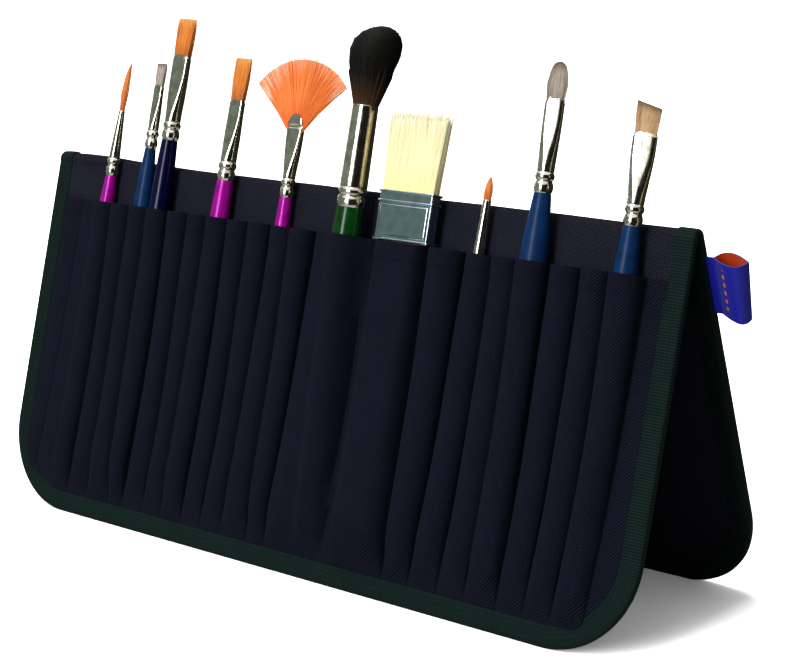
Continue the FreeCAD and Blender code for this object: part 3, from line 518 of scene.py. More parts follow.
def pocketArch(width, height):
    # outline of one pocket over the facing: steep walls and a round crown, from its left foot to its right
    half = width / 2 - strip["seam"] / 2
    top = half - strip["leanIn"]
    crown = max(min(0.8 * top, 0.75 * height), 1e-6)
    wall = np.linspace(0, 1, strip["wallPoints"])[:-1]
    left = np.stack([-half + wall * strip["leanIn"], wall * (height - crown)], -1)
    radius = (top ** 2 + crown ** 2) / (2 * crown)
    opening = math.asin(min(1.0, top / radius))
    angle = np.linspace(-opening, opening, strip["crownPoints"])
    arc = np.stack([radius * np.sin(angle), height - radius + radius * np.cos(angle)], -1)
    return np.concatenate([left, arc, left[::-1] * np.array([-1, 1])])


def flatArch(width, height, power):  # over a flat handle: broad top, soft shoulders
    half = width / 2 - strip["seam"] / 2
    angle = np.linspace(math.pi, 0, strip["crownPoints"] + 2 * strip["wallPoints"] - 2)
    across = np.cos(angle)
    return np.stack([half * np.sign(across) * np.abs(across) ** (2 / power), height * np.sin(angle)], -1)


def slackArch(width, height, low, handleAt, share):  # a loose bulge, then a fold; taut at the mouth
    half = width / 2 - strip["seam"] / 2
    across = np.linspace(-half, half, strip["crownPoints"] + 2 * strip["wallPoints"] - 2)
    beside = -half + strip["slack"]
    bulge = strip["bulge"] * low * np.sqrt(np.maximum(0, 1 - ((across - beside) / strip["slack"]) ** 2))
    fold = height * np.sqrt(np.maximum(0, 1 - ((across - handleAt) / strip["mopFold"]) ** 2))
    high = np.maximum(bulge, fold)
    taut = np.interp(across, [-half, beside, handleAt, half], [0, strip["bulge"] * low, height, 0])
    return np.stack([across, high + np.maximum(taut - high, 0) * share ** 3], -1)


def stripLevels():
    low = strip["foot"] + np.linspace(0, 1, 13) * strip["knee"]
    mid = np.linspace(low[-1], strip["mouth"] - strip["hem"] - 0.6 * mm, 30)[1:]
    hem = strip["mouth"] - strip["hem"] + np.array([-0.3, 0.0, 1.5, 3.0, 4.3, 5.5, 6.4, 7.0]) * mm
    return np.concatenate([low, mid, hem])


def brushFrame(item):
    place = Matrix.Translation((item["x"] * mm, strip["mouth"], case["facing"] + item["high"] * mm))
    tilt = Matrix.Rotation(math.radians(-item["tilt"]), 4, "Z")
    return frontPanel @ place @ (tilt @ Matrix.Rotation(math.radians(item["lean"] - 90), 4, "X"))


def makePocketStrip():
    seams = pocketSeams()
    levels = stripLevels()
    count = len(seams) - 1
    shifts = [strip["footDrift"] + rng.uniform(-0.8, 0.8) * mm for _ in seams]
    shifts[0] = 0.0
    for item in brushes.values():  # no fold runs across a handle's butt
        k = item["pocket"]
        buttX = item["x"] - buttToMouth * math.tan(math.radians(item["tilt"])) + item["butt"] / 2
        buttX += strip["buttClear"]
        shifts[k] = max(shifts[k], (buttX * mm - seams[k]) / 0.75)
    shifts[bristle["pocket"]] = strip["bristleDrift"]
    rows = []
    mop = brushes["mop"]
    full = strip["mouth"] - strip["foot"]
    for y in levels:
        rise = y - strip["foot"]
        low = min(1.0, rise / strip["knee"])
        low = low * (2 - low)
        share = np.clip((rise - strip["knee"]) / (full - strip["knee"]), 0, 1)
        drift = (1 - min(1.0, rise / full)) ** 3
        line, spans = [[seams[0], 0.0]], []
        for k in range(count):
            number = k + 1
            knee, mouth = pocketRise.get(number, strip["flat"] if number in flatPockets else strip["empty"])
            height = max((knee + share * (mouth - knee)) * mm * low - strip["skin"] * min(1.0, low * 3), 0.0)
            left = seams[k] + drift * shifts[k]
            right = seams[k + 1] + drift * shifts[k + 1]
            if number == bristle["pocket"]:
                arch = flatArch(right - left, height, 3.5 + 4.5 * share)
            elif number == mop["pocket"]:
                slide = (y - strip["mouth"]) * math.tan(math.radians(mop["tilt"]))
                handleAt = mop["x"] * mm + slide - (left + right) / 2
                arch = slackArch(right - left, height, low, handleAt, share)
            else:
                arch = pocketArch(right - left, height)
            sway = strip["sway"] * math.sin(number * 2.1 + rise * 70) * low
            arch[:, 0] += sway * arch[:, 1] / max(height, 1e-6) + (left + right) / 2
            spans.append((len(line), len(line) + len(arch)))
            line += arch.tolist()
        line.append([case["half"] - case["tapeFace"] + 1.0 * mm, 0.0])
        line = np.array(line)
        x, z = line[:, 0], line[:, 1] + case["facing"] + strip["skin"]
        if y > strip["mouth"] - strip["hem"] - 0.1 * mm:
            z = z + strip["hemStep"]
        rows.append(np.stack([x, np.full_like(x, y), z], -1))
    rows = np.array(rows)
    for item in brushes.values():  # the cloth bears on the handles
        at = frontPanel.inverted() @ brushFrame(item)
        base, way = np.array(at.translation), np.array(at.to_3x3() @ Vector((0, 0, 1)))
        offset = rows - base
        run = offset @ way
        butt, belly, neck = item["butt"] / 2, item["belly"] / 2, item["neck"] / 2
        radius = np.interp(run / mm, [-buttToMouth, -buttToMouth + butt, -item["drop"], item["above"]],
                           [0.4 * item["butt"], butt, belly, neck]) * mm
        off = offset - run[..., None] * way
        gap = np.linalg.norm(off, axis=-1)
        need = radius + strip["bearing"]
        inside = (gap < need) & (run > -buttToMouth * mm)
        push = np.where(inside, need / np.maximum(gap, 1e-6), 1.0)
        rows = rows + off * (push - 1)[..., None]
    widest = halfWidth(rows[..., 1], 6 * mm)
    rows[..., 0] = np.clip(rows[..., 0], -widest, widest)
    across = np.array([along(row[:, [0, 2]]) for row in rows])
    up = np.repeat(levels[:, None], rows.shape[1], 1)
    spans[-1] = (spans[-1][0], rows.shape[1])
    pattern = across.copy()
    for first, last in spans:  # the wales stay straight down the middle of each pocket
        middle = (first + last) // 2
        pattern[:, first:last] -= (across[:, middle] - across[-1, middle])[:, None]
    world = onFront(rows[..., 0], rows[..., 1], rows[..., 2])
    cloth = gridSheet("pocketStrip", world, np.stack([-pattern, up], -1), twill)  # wales rise to the right
    applyModifier(cloth, "SOLIDIFY", thickness=strip["skin"] * 0.8, offset=-1.0)
    smooth(cloth, 50)
    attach(cloth, "front_panel")
    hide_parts("pocket_strip")
    return rows, levels


stitch = {"pitch": 2.6 * mm, "length": 2.0 * mm, "thick": 0.42 * mm}


def stitchRow(name, points, outward):
    # short twisted stitches lying along a line; each is a small lens of a few faces
    pitch, length, thick = stitch["pitch"], stitch["length"], stitch["thick"]
    runs = along(points)
    bodyPoints, faces = [], []
    position = pitch * 0.5
    sides = 6
    while position < runs[-1] - pitch * 0.5:
        ends = [np.array([np.interp(position + d, runs, points[:, c]) for c in range(3)])
                for d in (-length / 2, length / 2)]
        normal = np.array([np.interp(position, runs, outward[:, c]) for c in range(3)])
        way = ends[1] - ends[0]
        way = way / max(np.linalg.norm(way), 1e-9)
        normal = normal - way * (normal @ way)
        normal = normal / max(np.linalg.norm(normal), 1e-9)
        side = np.cross(way, normal)
        first = len(bodyPoints)
        for t, size in ((0.0, 0.35), (0.25, 0.95), (0.75, 0.95), (1.0, 0.35)):
            centre = ends[0] + (ends[1] - ends[0]) * t + normal * thick * (0.1 + 0.25 * math.sin(math.pi * t))
            for k in range(sides):
                angle = twoPi * k / sides
                around = side * math.cos(angle) + normal * math.sin(angle) * 0.8
                bodyPoints.append(centre + around * thick * 0.5 * size)
        for ring in range(3):
            for k in range(sides):
                a, b = first + ring * sides + k, first + ring * sides + (k + 1) % sides
                faces.append((a, b, b + sides, a + sides))
        faces.append(tuple(first + k for k in reversed(range(sides))))
        faces.append(tuple(first + 3 * sides + k for k in range(sides)))
        position += pitch
    obj = meshPiece(name, bodyPoints, faces, thread)
    smooth(obj, 60)
    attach(obj, "front_panel")


stripRows, stripAt = makePocketStrip()


def stripLine(y):
    row = np.array([[np.interp(y, stripAt, stripRows[:, i, c]) for c in range(3)]
                    for i in range(stripRows.shape[1])])
    step = np.gradient(row[:, [0, 2]], axis=0)
    normal = np.stack([-step[:, 1], np.zeros(len(row)), step[:, 0]], -1)
    normal /= np.maximum(np.linalg.norm(normal, axis=1, keepdims=True), 1e-9)
    world = onFront(row[:, 0], row[:, 1], row[:, 2])
    turned = normal @ np.array(frontPanel.to_3x3()).T
    return world, turned


stitchRow("hemStitches", *stripLine(strip["mouth"] - strip["stitchDrop"]))
for side, column in (("left", 0), ("right", -2)):
    run = stripRows[2:, column]
    points = onFront(run[:, 0], run[:, 1], run[:, 2])
    stitchRow("seamStitches_" + side, points, np.repeat(np.array([[0, -cosLean, sinLean]]), len(points), 0))
print("pocket strip with", len(pocketSeams()) - 1, "pockets")

# one loop round both panels and over the ridge
tape = {"rib": 1.1 * mm, "ribHigh": 0.13 * mm, "ridgeSteps": 14, "ridgeRun": 10 * mm, "ridgePitch": 0.7 * mm,
        "ridgeInside": 0.9 * mm}


def tapePath():
    # edge points and inward directions of one panel, from the ridge's left end round to its right end
    straight = case["slope"] - case["corner"]
    arc = np.linspace(0, math.pi / 2, 300)
    inner = case["half"] - case["corner"]
    left = [(-case["half"], -t, 1.0, 0.0) for t in np.linspace(0, straight, 500)]
    corner = case["corner"]
    lowLeft = [(-inner - corner * math.cos(a), -straight - corner * math.sin(a), math.cos(a), math.sin(a))
               for a in arc[1:]]
    foot = [(x, -case["slope"], 0.0, 1.0) for x in np.linspace(-inner, inner, 900)[1:]]
    lowRight = [(-p[0], p[1], -p[2], p[3]) for p in lowLeft[::-1]][1:]
    right = [(-p[0], p[1], -p[2], p[3]) for p in left[::-1]]
    return np.array(left + lowLeft + foot + lowRight + right)


def tapeSection():
    face = case["tapeFace"]
    out, low = case["outerTape"], case["innerTape"]
    d = [face, face, face - 0.4 * mm, 6.6 * mm, 4.6 * mm, 2.6 * mm, 1.0 * mm, 0.3 * mm, 0.0,
         0.0, 0.3 * mm, 1.0 * mm, 3.0 * mm, 5.5 * mm, face - 0.4 * mm, face, face]
    z = [case["facing"] + 0.05 * mm, out - 0.2 * mm, out - 0.03 * mm, out, out, out, out - 0.04 * mm,
         out - 0.3 * mm, out - 1.0 * mm, low + 1.0 * mm, low + 0.3 * mm, low + 0.04 * mm, low, low,
         low + 0.03 * mm, low + 0.2 * mm, case["innerCloth"] - 0.05 * mm]
    return np.array(d), np.array(z)


def makeTape():
    path = tapePath()
    length = along(path[:, :2])
    ribs = int(length[-1] / tape["rib"])
    at = np.linspace(0, length[-1], 2 * ribs + 1)
    edge = np.stack([np.interp(at, length, path[:, c]) for c in range(4)], -1)
    d, z = tapeSection()
    ribWave = np.where(np.arange(len(at)) % 2 == 0, 1.0, -1.0) * tape["ribHigh"] / 2
    swell = np.array([0.2, 0.7] + [1] * (len(d) - 4) + [0.7, 0.2])  # the ribs die out at the tape's edges
    middle = (case["outerTape"] + case["innerTape"]) / 2
    outAcross = np.sign(z - middle) * (np.abs(z - middle) > 0.8 * mm)
    columns, flat = [], []
    across = along(np.stack([d, z], -1))

    def panelColumns(place, order, start):
        for i in order:
            x = edge[i, 0] + edge[i, 2] * d
            y = edge[i, 1] + edge[i, 3] * d
            level = z + outAcross * swell * ribWave[i]
            columns.append(place(x, y, level))
            run = start + at[i if order[0] == 0 else len(at) - 1 - i]
            flat.append(np.stack([np.full_like(d, run), across], -1))

    def ridgeColumns(x, inward, turns, start):
        for k, turn in enumerate(turns):
            wave = tape["ribHigh"] / 2 * (1 if k % 2 else -1)
            run = x + inward * d
            level = np.maximum(z, tape["ridgeInside"]) + outAcross * swell * wave + bunched(run, turn)
            columns.append(overRidge(run, turn, level))
            flat.append(np.stack([np.full_like(d, start + k * tape["ridgePitch"]), across], -1))

    total = length[-1]
    whole = 2 * (total + tape["ridgeRun"])
    turns = np.linspace(0, 1, tape["ridgeSteps"] + 2)[1:-1]
    panelColumns(onFront, list(range(len(at))), 0.0)
    ridgeColumns(case["half"], -1.0, turns, total)
    panelColumns(onRear, list(range(len(at) - 1, -1, -1)), total + tape["ridgeRun"])
    ridgeColumns(-case["half"], 1.0, turns[::-1], 2 * total + tape["ridgeRun"])
    columns.append(columns[0])
    flat.append(flat[0] + np.array([whole, 0]))
    points = np.array(columns)
    points[..., 2] = np.maximum(points[..., 2], 0.0)
    band = gridSheet("bindingTape", points.transpose(1, 0, 2), np.array(flat).transpose(1, 0, 2), grosgrain)
    tidyMesh(band, 2e-6)
    smooth(band, 50)
    bendAtRidge(band)
    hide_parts("front_binding", "rear_binding")


makeTape()
print("binding tape")

label = {"drop": 8.0 * mm, "high": 23.0 * mm, "tab": 3.2 * mm, "reach": 18.0 * mm, "slant": 2.6 * mm,
         "bulge": 4.9 * mm, "skew": 3.4 * mm, "skin": 0.4 * mm, "middle": 1.9 * mm, "sewnIn": 2.0 * mm,
         "layer": 0.3 * mm, "sag": 0.5 * mm}


def makeLabel():
    rows, flat = [], []
    t = np.linspace(-1, 1, 49)
    side = np.sign(t)
    for up in np.linspace(0, 1, 15):  # from the lower edge to the upper one
        reach = label["reach"] - label["slant"] * (1 - up)
        out = (1 - np.abs(t)) * (reach + label["sewnIn"]) - label["sewnIn"]
        lens = np.clip((out - label["tab"]) / (reach - label["tab"]), 0, 1)
        swell = 4 * lens * (1 - lens)
        x = case["half"] + out - side * label["skew"] * swell  # the open mouth leans over
        z = label["middle"] + side * (label["bulge"] * swell + label["layer"] * (1 - lens))
        sag = label["sag"] * np.sin(lens * 5 + 0.6) * (1 - up)
        y = -label["drop"] - label["high"] * (1 - up) + sag
        rows.append(onRear(x, y, z))
        run = along(np.stack([x, z], -1))
        flat.append(np.stack([run, np.full_like(run, up * label["high"])], -1))
    loop = gridSheet("labelLoop", np.array(rows), np.array(flat), ribbonOutside)
    loop.data.materials.append(ribbonInside)
    applyModifier(loop, "SOLIDIFY", thickness=label["skin"], offset=-1.0, material_offset=1,
                  material_offset_rim=0)
    smooth(loop, 60)
    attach(loop, "rear_panel")
    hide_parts("label_loop")


makeLabel()
print("label loop")


def ringStack(name, rings, material, segments=40, square=None):
    # a circle primitive extruded ring by ring; rings are (level, half width, half depth) in mm
    deselectAll()
    bpy.ops.mesh.primitive_circle_add(vertices=segments, radius=1.0, fill_type="NOTHING")
    obj = bpy.context.object
    obj.name = obj.data.name = name
    bpy.ops.object.mode_set(mode="EDIT")
    bpy.ops.mesh.select_all(action="SELECT")
    level, wide, deep = rings[0]
    bpy.ops.transform.resize(value=(wide * mm, deep * mm, 1.0))
    bpy.ops.transform.translate(value=(0, 0, level * mm))
    for nextLevel, nextWide, nextDeep in rings[1:]:
        bpy.ops.mesh.extrude_region_move(TRANSFORM_OT_translate={"value": (0, 0, (nextLevel - level) * mm)})
        bpy.ops.transform.resize(value=(nextWide / wide, nextDeep / deep, 1.0))
        level, wide, deep = nextLevel, nextWide, nextDeep
    bpy.ops.mesh.select_all(action="DESELECT")
    bpy.ops.mesh.select_non_manifold()
    bpy.ops.mesh.fill_holes(sides=0)
    bpy.ops.mesh.select_all(action="SELECT")
    bpy.ops.mesh.normals_make_consistent(inside=False)
    bpy.ops.object.mode_set(mode="OBJECT")
    if square:
        squareRings(obj, rings, square)
    obj.data.materials.append(material)
    return obj


def squareRings(obj, rings, square):
    # flattens the faces of oval rings: the oval's exponent rises from 2, an ellipse, with the level
    levels, wides, deeps = np.array(rings).T
    start, stop, power = square
    for vertex in obj.data.vertices:
        x, y, z = (c / mm for c in vertex.co)
        wide, deep = np.interp(z, levels, wides), np.interp(z, levels, deeps)
        share = min(1.0, max(0.0, (z - start) / (stop - start)))
        exponent = 2 + (power - 2) * share * share * (3 - 2 * share)
        angle = math.atan2(y / deep, x / wide)
        c, s = math.cos(angle), math.sin(angle)
        r = (abs(c) ** exponent + abs(s) ** exponent) ** (-1 / exponent)
        vertex.co.x, vertex.co.y = wide * c * r * mm, deep * s * r * mm


def toBrush(obj, item, body, node):
    obj.data.transform(brushFrame(item) @ Matrix.Rotation(math.radians(item.get("turn", 0.0)), 4, "Z"))
    obj.data.update()
    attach(obj, body)
    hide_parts(node)


shank = {"tenonGap": 0.45, "tenonLong": 9.0, "blunt": 0.05}  # in mm; the tenon goes into the ferrule


def handleRings(item):
    butt, belly, neck = item["butt"] / 2, item["belly"] / 2, item["neck"] / 2
    foot = -buttToMouth
    rings = []
    for a in np.linspace(shank["blunt"], math.pi / 2, 6):
        r = max(butt * math.sin(a), shank["blunt"])
        rings.append((foot + butt * (1 - math.cos(a)), r, r))
    bellyAt, neckAt = -item["drop"], item["above"]
    for t in np.linspace(0.15, 1, 8):
        r = butt + (belly - butt) * t
        rings.append((foot + butt + (bellyAt - foot - butt) * t, r, r))
    for t in np.linspace(0.15, 1, 8):
        r = belly + (neck - belly) * t ** 2 * (1.6 - 0.6 * t)
        rings.append((bellyAt + (neckAt - bellyAt) * t, r, r))
    tenon = neck - shank["tenonGap"]
    return rings + [(neckAt + 0.05, tenon, tenon), (neckAt + shank["tenonLong"], tenon, tenon)]


def crimpAt(rise, line):  # rolled barrels with grooves between them, then a single scored line on some
    for low, high in crimp["barrels"]:
        if low <= rise <= high:
            return crimp["swell"] * math.sin(math.pi * (rise - low) / (high - low)) ** 0.8 - crimp["groove"]
    if rise < crimp["end"]:
        return -crimp["groove"]
    return -crimp["score"] if line and abs(rise - line) < crimp["scoreHalf"] else 0.0


def ferruleRings(item):
    base, top = item["above"], item["above"] + item["ferrule"]
    neck, wide, deep = item["neck"] / 2, item["wide"] / 2, item["deep"] / 2
    line = item.get("line")
    rises = [low + (high - low) * t for low, high in crimp["barrels"] for t in np.linspace(0, 1, 9)]
    rises += list(np.linspace(crimp["end"] + 0.6, item["ferrule"] - 0.3, 16))
    rises += [crimp["end"], item["ferrule"]]
    if line:
        rises += [line - 0.35, line - 0.2, line + 0.2, line + 0.35]
    if item["kind"] == "fan":
        rises += [item["ferrule"] - crimp["fanPinch"] + d for d in (-1.0, -0.6, -0.3, 0.0, 0.3, 0.6, 1.0)]
    rises.sort()
    rings = []
    for rise in rises:
        share = np.clip((rise - crimp["end"]) / (item["ferrule"] * crimp["pressed"] - crimp["end"]), 0, 1)
        if item["wide"] == item["deep"]:
            press = np.clip((rise - crimp["end"]) / (item["ferrule"] - crimp["end"]), 0, 1)
        else:  # pressed flat from just above the crimps
            press = 0.5 * share + 0.5 * share * share * (3 - 2 * share)
        swell = 0.0 if item.get("plain") else crimpAt(rise, line)
        edge = crimp["rolledIn"] if rise == item["ferrule"] else 0.0
        rings.append((base + rise, neck + (wide - neck) * press + swell - edge,
                      neck + (deep - neck) * press + swell - edge))
    rings.append((top - 0.02, max(rings[-1][1] - 0.3, 0.3), max(rings[-1][2] - 0.3, 0.3)))
    rings.append((top - 1.5, max(rings[-1][1] - 0.05, 0.25), max(rings[-1][2] - 0.05, 0.25)))
    return rings


crimp = {"barrels": ((0.0, 4.5), (4.9, 7.9)), "end": 8.3, "swell": 0.62, "groove": 0.2, "pressed": 0.8,
         "fanPinch": 4.9, "score": 0.14, "scoreHalf": 0.25, "rolledIn": 0.12, "flatFrom": 9.0, "flatRun": 0.7,
         "flatPower": 4.5}
fanShape = {"strands": 760, "halfOpen": 54.0, "across": 33.0, "up": 29.5, "root": 3.0, "wrap": 3.0,
            "flap": 5.0, "flare": 1.9, "layer": 0.6, "thick": (0.12, 0.2), "webThick": 0.5 * mm}
tuft = {"strands": {"round": 70, "mop": 800, "flat": 130, "filbert": 110, "slanted": 120}, "sunk": 2.5,
        "rootDrop": 0.8, "coreLong": 0.98, "coreWide": 0.97, "thick": (0.09, 0.15), "mopThick": 1.6,
        "slant": 15}
tuftShape = {  # shares of the length, the spread and the depth; a flat's widths run from ferrule to tip
    "round": [(0.0, 0.6, 0.6), (0.25, 0.8, 0.8), (0.45, 0.86, 0.86), (0.65, 0.74, 0.74), (0.85, 0.42, 0.42),
              (0.95, 0.18, 0.18), (1.0, 0.05, 0.05)],
    "mop": [(0.0, 0.45, 0.45), (0.15, 0.55, 0.55), (0.35, 0.76, 0.76), (0.55, 0.94, 0.94), (0.68, 1.0, 1.0),
            (0.8, 0.95, 0.95), (0.9, 0.76, 0.76), (0.97, 0.46, 0.46), (1.0, 0.2, 0.2)],
    "flat": [(0.0, 0.0, 0.75), (0.3, 0.3, 0.7), (0.6, 0.65, 0.55), (0.9, 0.96, 0.35), (1.0, 1.0, 0.2)],
    "filbert": [(0.0, 0.9, 0.8), (0.35, 1.0, 0.75), (0.65, 0.95, 0.55), (0.85, 0.75, 0.35), (0.95, 0.5, 0.25),
                (1.0, 0.2, 0.2)],
    "slanted": [(0.0, 0.0, 0.75), (0.3, 0.4, 0.7), (0.6, 0.8, 0.55), (1.0, 1.0, 0.25)],
}


def setUv(obj, perVertex):
    layer = obj.data.uv_layers.new(name="UVMap") if not obj.data.uv_layers else obj.data.uv_layers[0]
    corner = np.zeros(len(obj.data.loops), np.int32)
    obj.data.loops.foreach_get("vertex_index", corner)
    layer.data.foreach_set("uv", np.array(perVertex, np.float32)[corner].reshape(-1))


def hairPiece(name, strands, material):
    # tapered three-sided strands, bent a little on their way; v of the UV runs from root to tip
    points, faces, uvs = [], [], []
    for root, tip, bend, wide, share in strands:
        root, tip, bend = root * mm, tip * mm, bend * mm
        first = len(points)
        for t, size in ((0.0, 1.0), (0.4, 1.0), (0.75, 0.8), (1.0, 0.25)):
            centre = root + (tip - root) * t + bend * math.sin(math.pi * t)
            for s in range(3):
                angle = twoPi * s / 3
                points.append(centre + np.array([math.cos(angle), math.sin(angle), 0]) * wide * size)
                uvs.append((tip[0] + root[1] * 3 + s * 0.1 * mm, t * share))
        for k in range(3):
            for s in range(3):
                a, b = first + 3 * k + s, first + 3 * k + (s + 1) % 3
                faces.append((a, b, b + 3, a + 3))
        faces.append((first + 9, first + 10, first + 11))
    obj = meshPiece(name, points, faces, material)
    setUv(obj, uvs)
    return obj


def makeTuft(name, item):
    top = item["above"] + item["ferrule"]
    half, deep, long = item["spread"] / 2, item["deep"] / 2, item["hair"]
    kind = item["kind"]
    shape = tuftShape[kind]
    roundTuft = item["wide"] == item["deep"]
    depth = half if roundTuft else deep
    narrow = (item["wide"] / 2 - 0.2) / half  # the hair starts inside the ferrule
    if kind in ("flat", "slanted"):
        shape = [(t, narrow + (1 - narrow) * w, d) for t, w, d in shape]
    elif roundTuft:
        shape = [(0.0, narrow, narrow)] + shape[1:]
    slim = tuft["coreWide"]
    rings = [(top - tuft["sunk"], half * shape[0][1] * 0.8, depth * shape[0][2] * 0.8)]
    rings += [(top + long * t * tuft["coreLong"], half * w * slim, depth * d * slim) for t, w, d in shape]
    core = ringStack(name, rings, hairLook[item["look"]], 28, None if roundTuft else (top, top + 1, 3.0))
    setUv(core, [(math.atan2(v.co.y, v.co.x) * half * mm, (v.co.z / mm - top) / long)
                 for v in core.data.vertices])
    local = random.Random(name)
    times, wides, deeps = np.array(shape).T
    strands = []
    for _ in range(tuft["strands"][kind]):
        angle = local.uniform(0, twoPi)
        ray = math.sqrt(local.uniform(0.8, 1.0))
        end = local.uniform(0.86, 1.0) if kind != "mop" else local.uniform(0.5, 0.97)
        u, v = ray * math.cos(angle), ray * math.sin(angle)
        if not roundTuft:  # spread evenly over the flat
            u, v = local.uniform(-1, 1), local.choice((-1, 1)) * local.uniform(0.85, 1.0)
        endW, endD = half * np.interp(end, times, wides), depth * np.interp(end, times, deeps)
        midW, midD = half * np.interp(end * 0.5, times, wides), depth * np.interp(end * 0.5, times, deeps)
        root = np.array([u * (half * wides[0]) * 0.97, v * (depth * deeps[0]) * 0.95, top - tuft["rootDrop"]])
        tip = np.array([u * endW, v * endD, top + long * end])
        middle = np.array([u * midW, v * midD, top + long * end * 0.5])
        if kind in ("flat", "slanted"):
            tip[2] += local.uniform(-0.5, 0.3)
        stray = np.array([local.uniform(-0.15, 0.15), local.uniform(-0.1, 0.1), 0])
        wide = local.uniform(*tuft["thick"]) * mm * (tuft["mopThick"] if kind == "mop" else 1.0)
        strands.append((root, tip, middle - (root + tip) / 2 + stray, wide, end))
    loose = hairPiece(name + "_strands", strands, hairLook[item["look"]])
    for obj in (core, loose):
        for vertex in obj.data.vertices:
            if kind == "slanted":  # the left side stands higher
                rise = max(0.0, (vertex.co.z / mm - top) / long)
                vertex.co.z -= vertex.co.x * math.tan(math.radians(tuft["slant"])) * rise ** 2
            if "hook" in item:  # the tip leans over to the right
                vertex.co.x += item["hook"] * mm * max(0.0, (vertex.co.z / mm - top) / long) ** 4
    joinInto(core, loose)
    return core


def joinInto(obj, *others):
    deselectAll()
    for other in others:
        other.select_set(True)
    obj.select_set(True)
    bpy.context.view_layer.objects.active = obj
    bpy.ops.object.join()
    smooth(obj, 60)


def pinchFan(tube, item):  # nipped below its mouth; the flap above the nip is a half round
    top, pinch = item["above"] + item["ferrule"], crimp["fanPinch"]
    for vertex in tube.data.vertices:
        down = top - vertex.co.z / mm
        if down < 8.0:
            vertex.co.y *= 1 - 0.55 * math.exp(-((down - pinch) / 0.7) ** 2)
        if down < pinch:
            aside = min(0.97, abs(vertex.co.x / mm) / (item["wide"] / 2))
            vertex.co.z = (top - pinch + (pinch - down) * math.sqrt(1 - aside ** 2)) * mm


def makeFan(name, item):
    top = item["above"] + item["ferrule"]
    halfOpen = math.radians(fanShape["halfOpen"])
    local = random.Random(name)
    strands = []
    for k in range(fanShape["strands"]):
        part = 2 * (k + local.random()) / fanShape["strands"] - 1
        a = halfOpen * part
        end = local.uniform(0.93, 1.0) * (1 if local.random() < 0.85 else local.uniform(0.88, 1.0))
        layer = local.uniform(-fanShape["layer"], fanShape["layer"])
        root = np.array([fanShape["root"] * part, layer * 0.8, top - 0.5 - fanShape["wrap"] * part ** 2])
        tip = np.array([fanShape["across"] * math.sin(a) * end, layer + local.uniform(-0.25, 0.25),
                        top + fanShape["up"] * math.cos(a) * end])
        bend = np.array([-0.9 * part, local.uniform(-0.1, 0.1), 1.3 * abs(part)]) * local.uniform(0.5, 1.3)
        wide = local.uniform(*fanShape["thick"]) * mm
        share = 0.8 + 0.3 * part ** 4 + 0.2 * max(0.0, -part - 0.3) + local.uniform(-0.1, 0.2)
        strands.append((root, tip, bend, wide, share))
    fan = hairPiece(name, strands, hairLook[item["look"]])
    parts = np.linspace(-0.98, 0.98, 41)  # a thin web of hair behind the loose strands
    rows, flat = [], []
    for t in np.linspace(0, 1, 12):
        angle = halfOpen * parts
        x = fanShape["root"] * parts * (1 - t) + fanShape["across"] * np.sin(angle) * 0.95 * t
        x = x - 0.8 * parts * math.sin(math.pi * t)
        z = top - 0.5 - fanShape["wrap"] * parts ** 2 * (1 - t)
        z = z + (fanShape["up"] * np.cos(angle) * 0.94 + 0.5) * t
        z = z + 1.2 * np.abs(parts) * math.sin(math.pi * t)
        rows.append(np.stack([x, np.zeros_like(x), z], -1) * mm)
        flat.append(np.stack([parts * 14 * mm, np.full_like(x, 0.75 * t)], -1))
    web = gridSheet(name + "_web", np.array(rows), np.array(flat), hairLook[item["look"]])
    applyModifier(web, "SOLIDIFY", thickness=fanShape["webThick"], offset=0.0)
    joinInto(fan, web)
    return fan


for name, item in brushes.items():
    body = name + "_brush"
    handle = ringStack(name + "_handleTurned", handleRings(item), lacquer[item["lacquer"]])
    smooth(handle)
    toBrush(handle, item, body, name + "_handle")
    fan = item["kind"] == "fan"
    metal = item
    if fan:  # its flap stands in front of the hair
        metal = dict(item, ferrule=item["ferrule"] + fanShape["flap"], wide=item["wide"] + fanShape["flare"])
    square = None
    if item["wide"] != item["deep"]:
        start = item["above"] + crimp["flatFrom"]
        square = (start, start + (item["ferrule"] - crimp["flatFrom"]) * crimp["flatRun"], crimp["flatPower"])
    tube = ringStack(name + "_ferruleTube", ferruleRings(metal), nickel, 56, square)
    if fan:
        pinchFan(tube, metal)
    smooth(tube, 30)
    toBrush(tube, item, body, name + "_ferrule")
    hair = makeFan(name + "_tuft", item) if fan else makeTuft(name + "_tuft", item)
    toBrush(hair, item, body, name + "_hair")
print("turned brushes:", len(brushes))


def boxPiece(name, wide, deep, low, high, material, bevel):
    deselectAll()
    bpy.ops.mesh.primitive_cube_add(size=1.0)
    obj = bpy.context.object
    obj.name = obj.data.name = name
    bpy.ops.object.mode_set(mode="EDIT")
    bpy.ops.mesh.select_all(action="SELECT")
    bpy.ops.transform.resize(value=(wide * mm, deep * mm, (high - low) * mm))
    bpy.ops.transform.translate(value=(0, 0, (low + high) / 2 * mm))
    bpy.ops.mesh.bevel(offset=bevel * mm, segments=3, affect="EDGES")
    bpy.ops.object.mode_set(mode="OBJECT")
    obj.data.materials.append(material)
    return obj


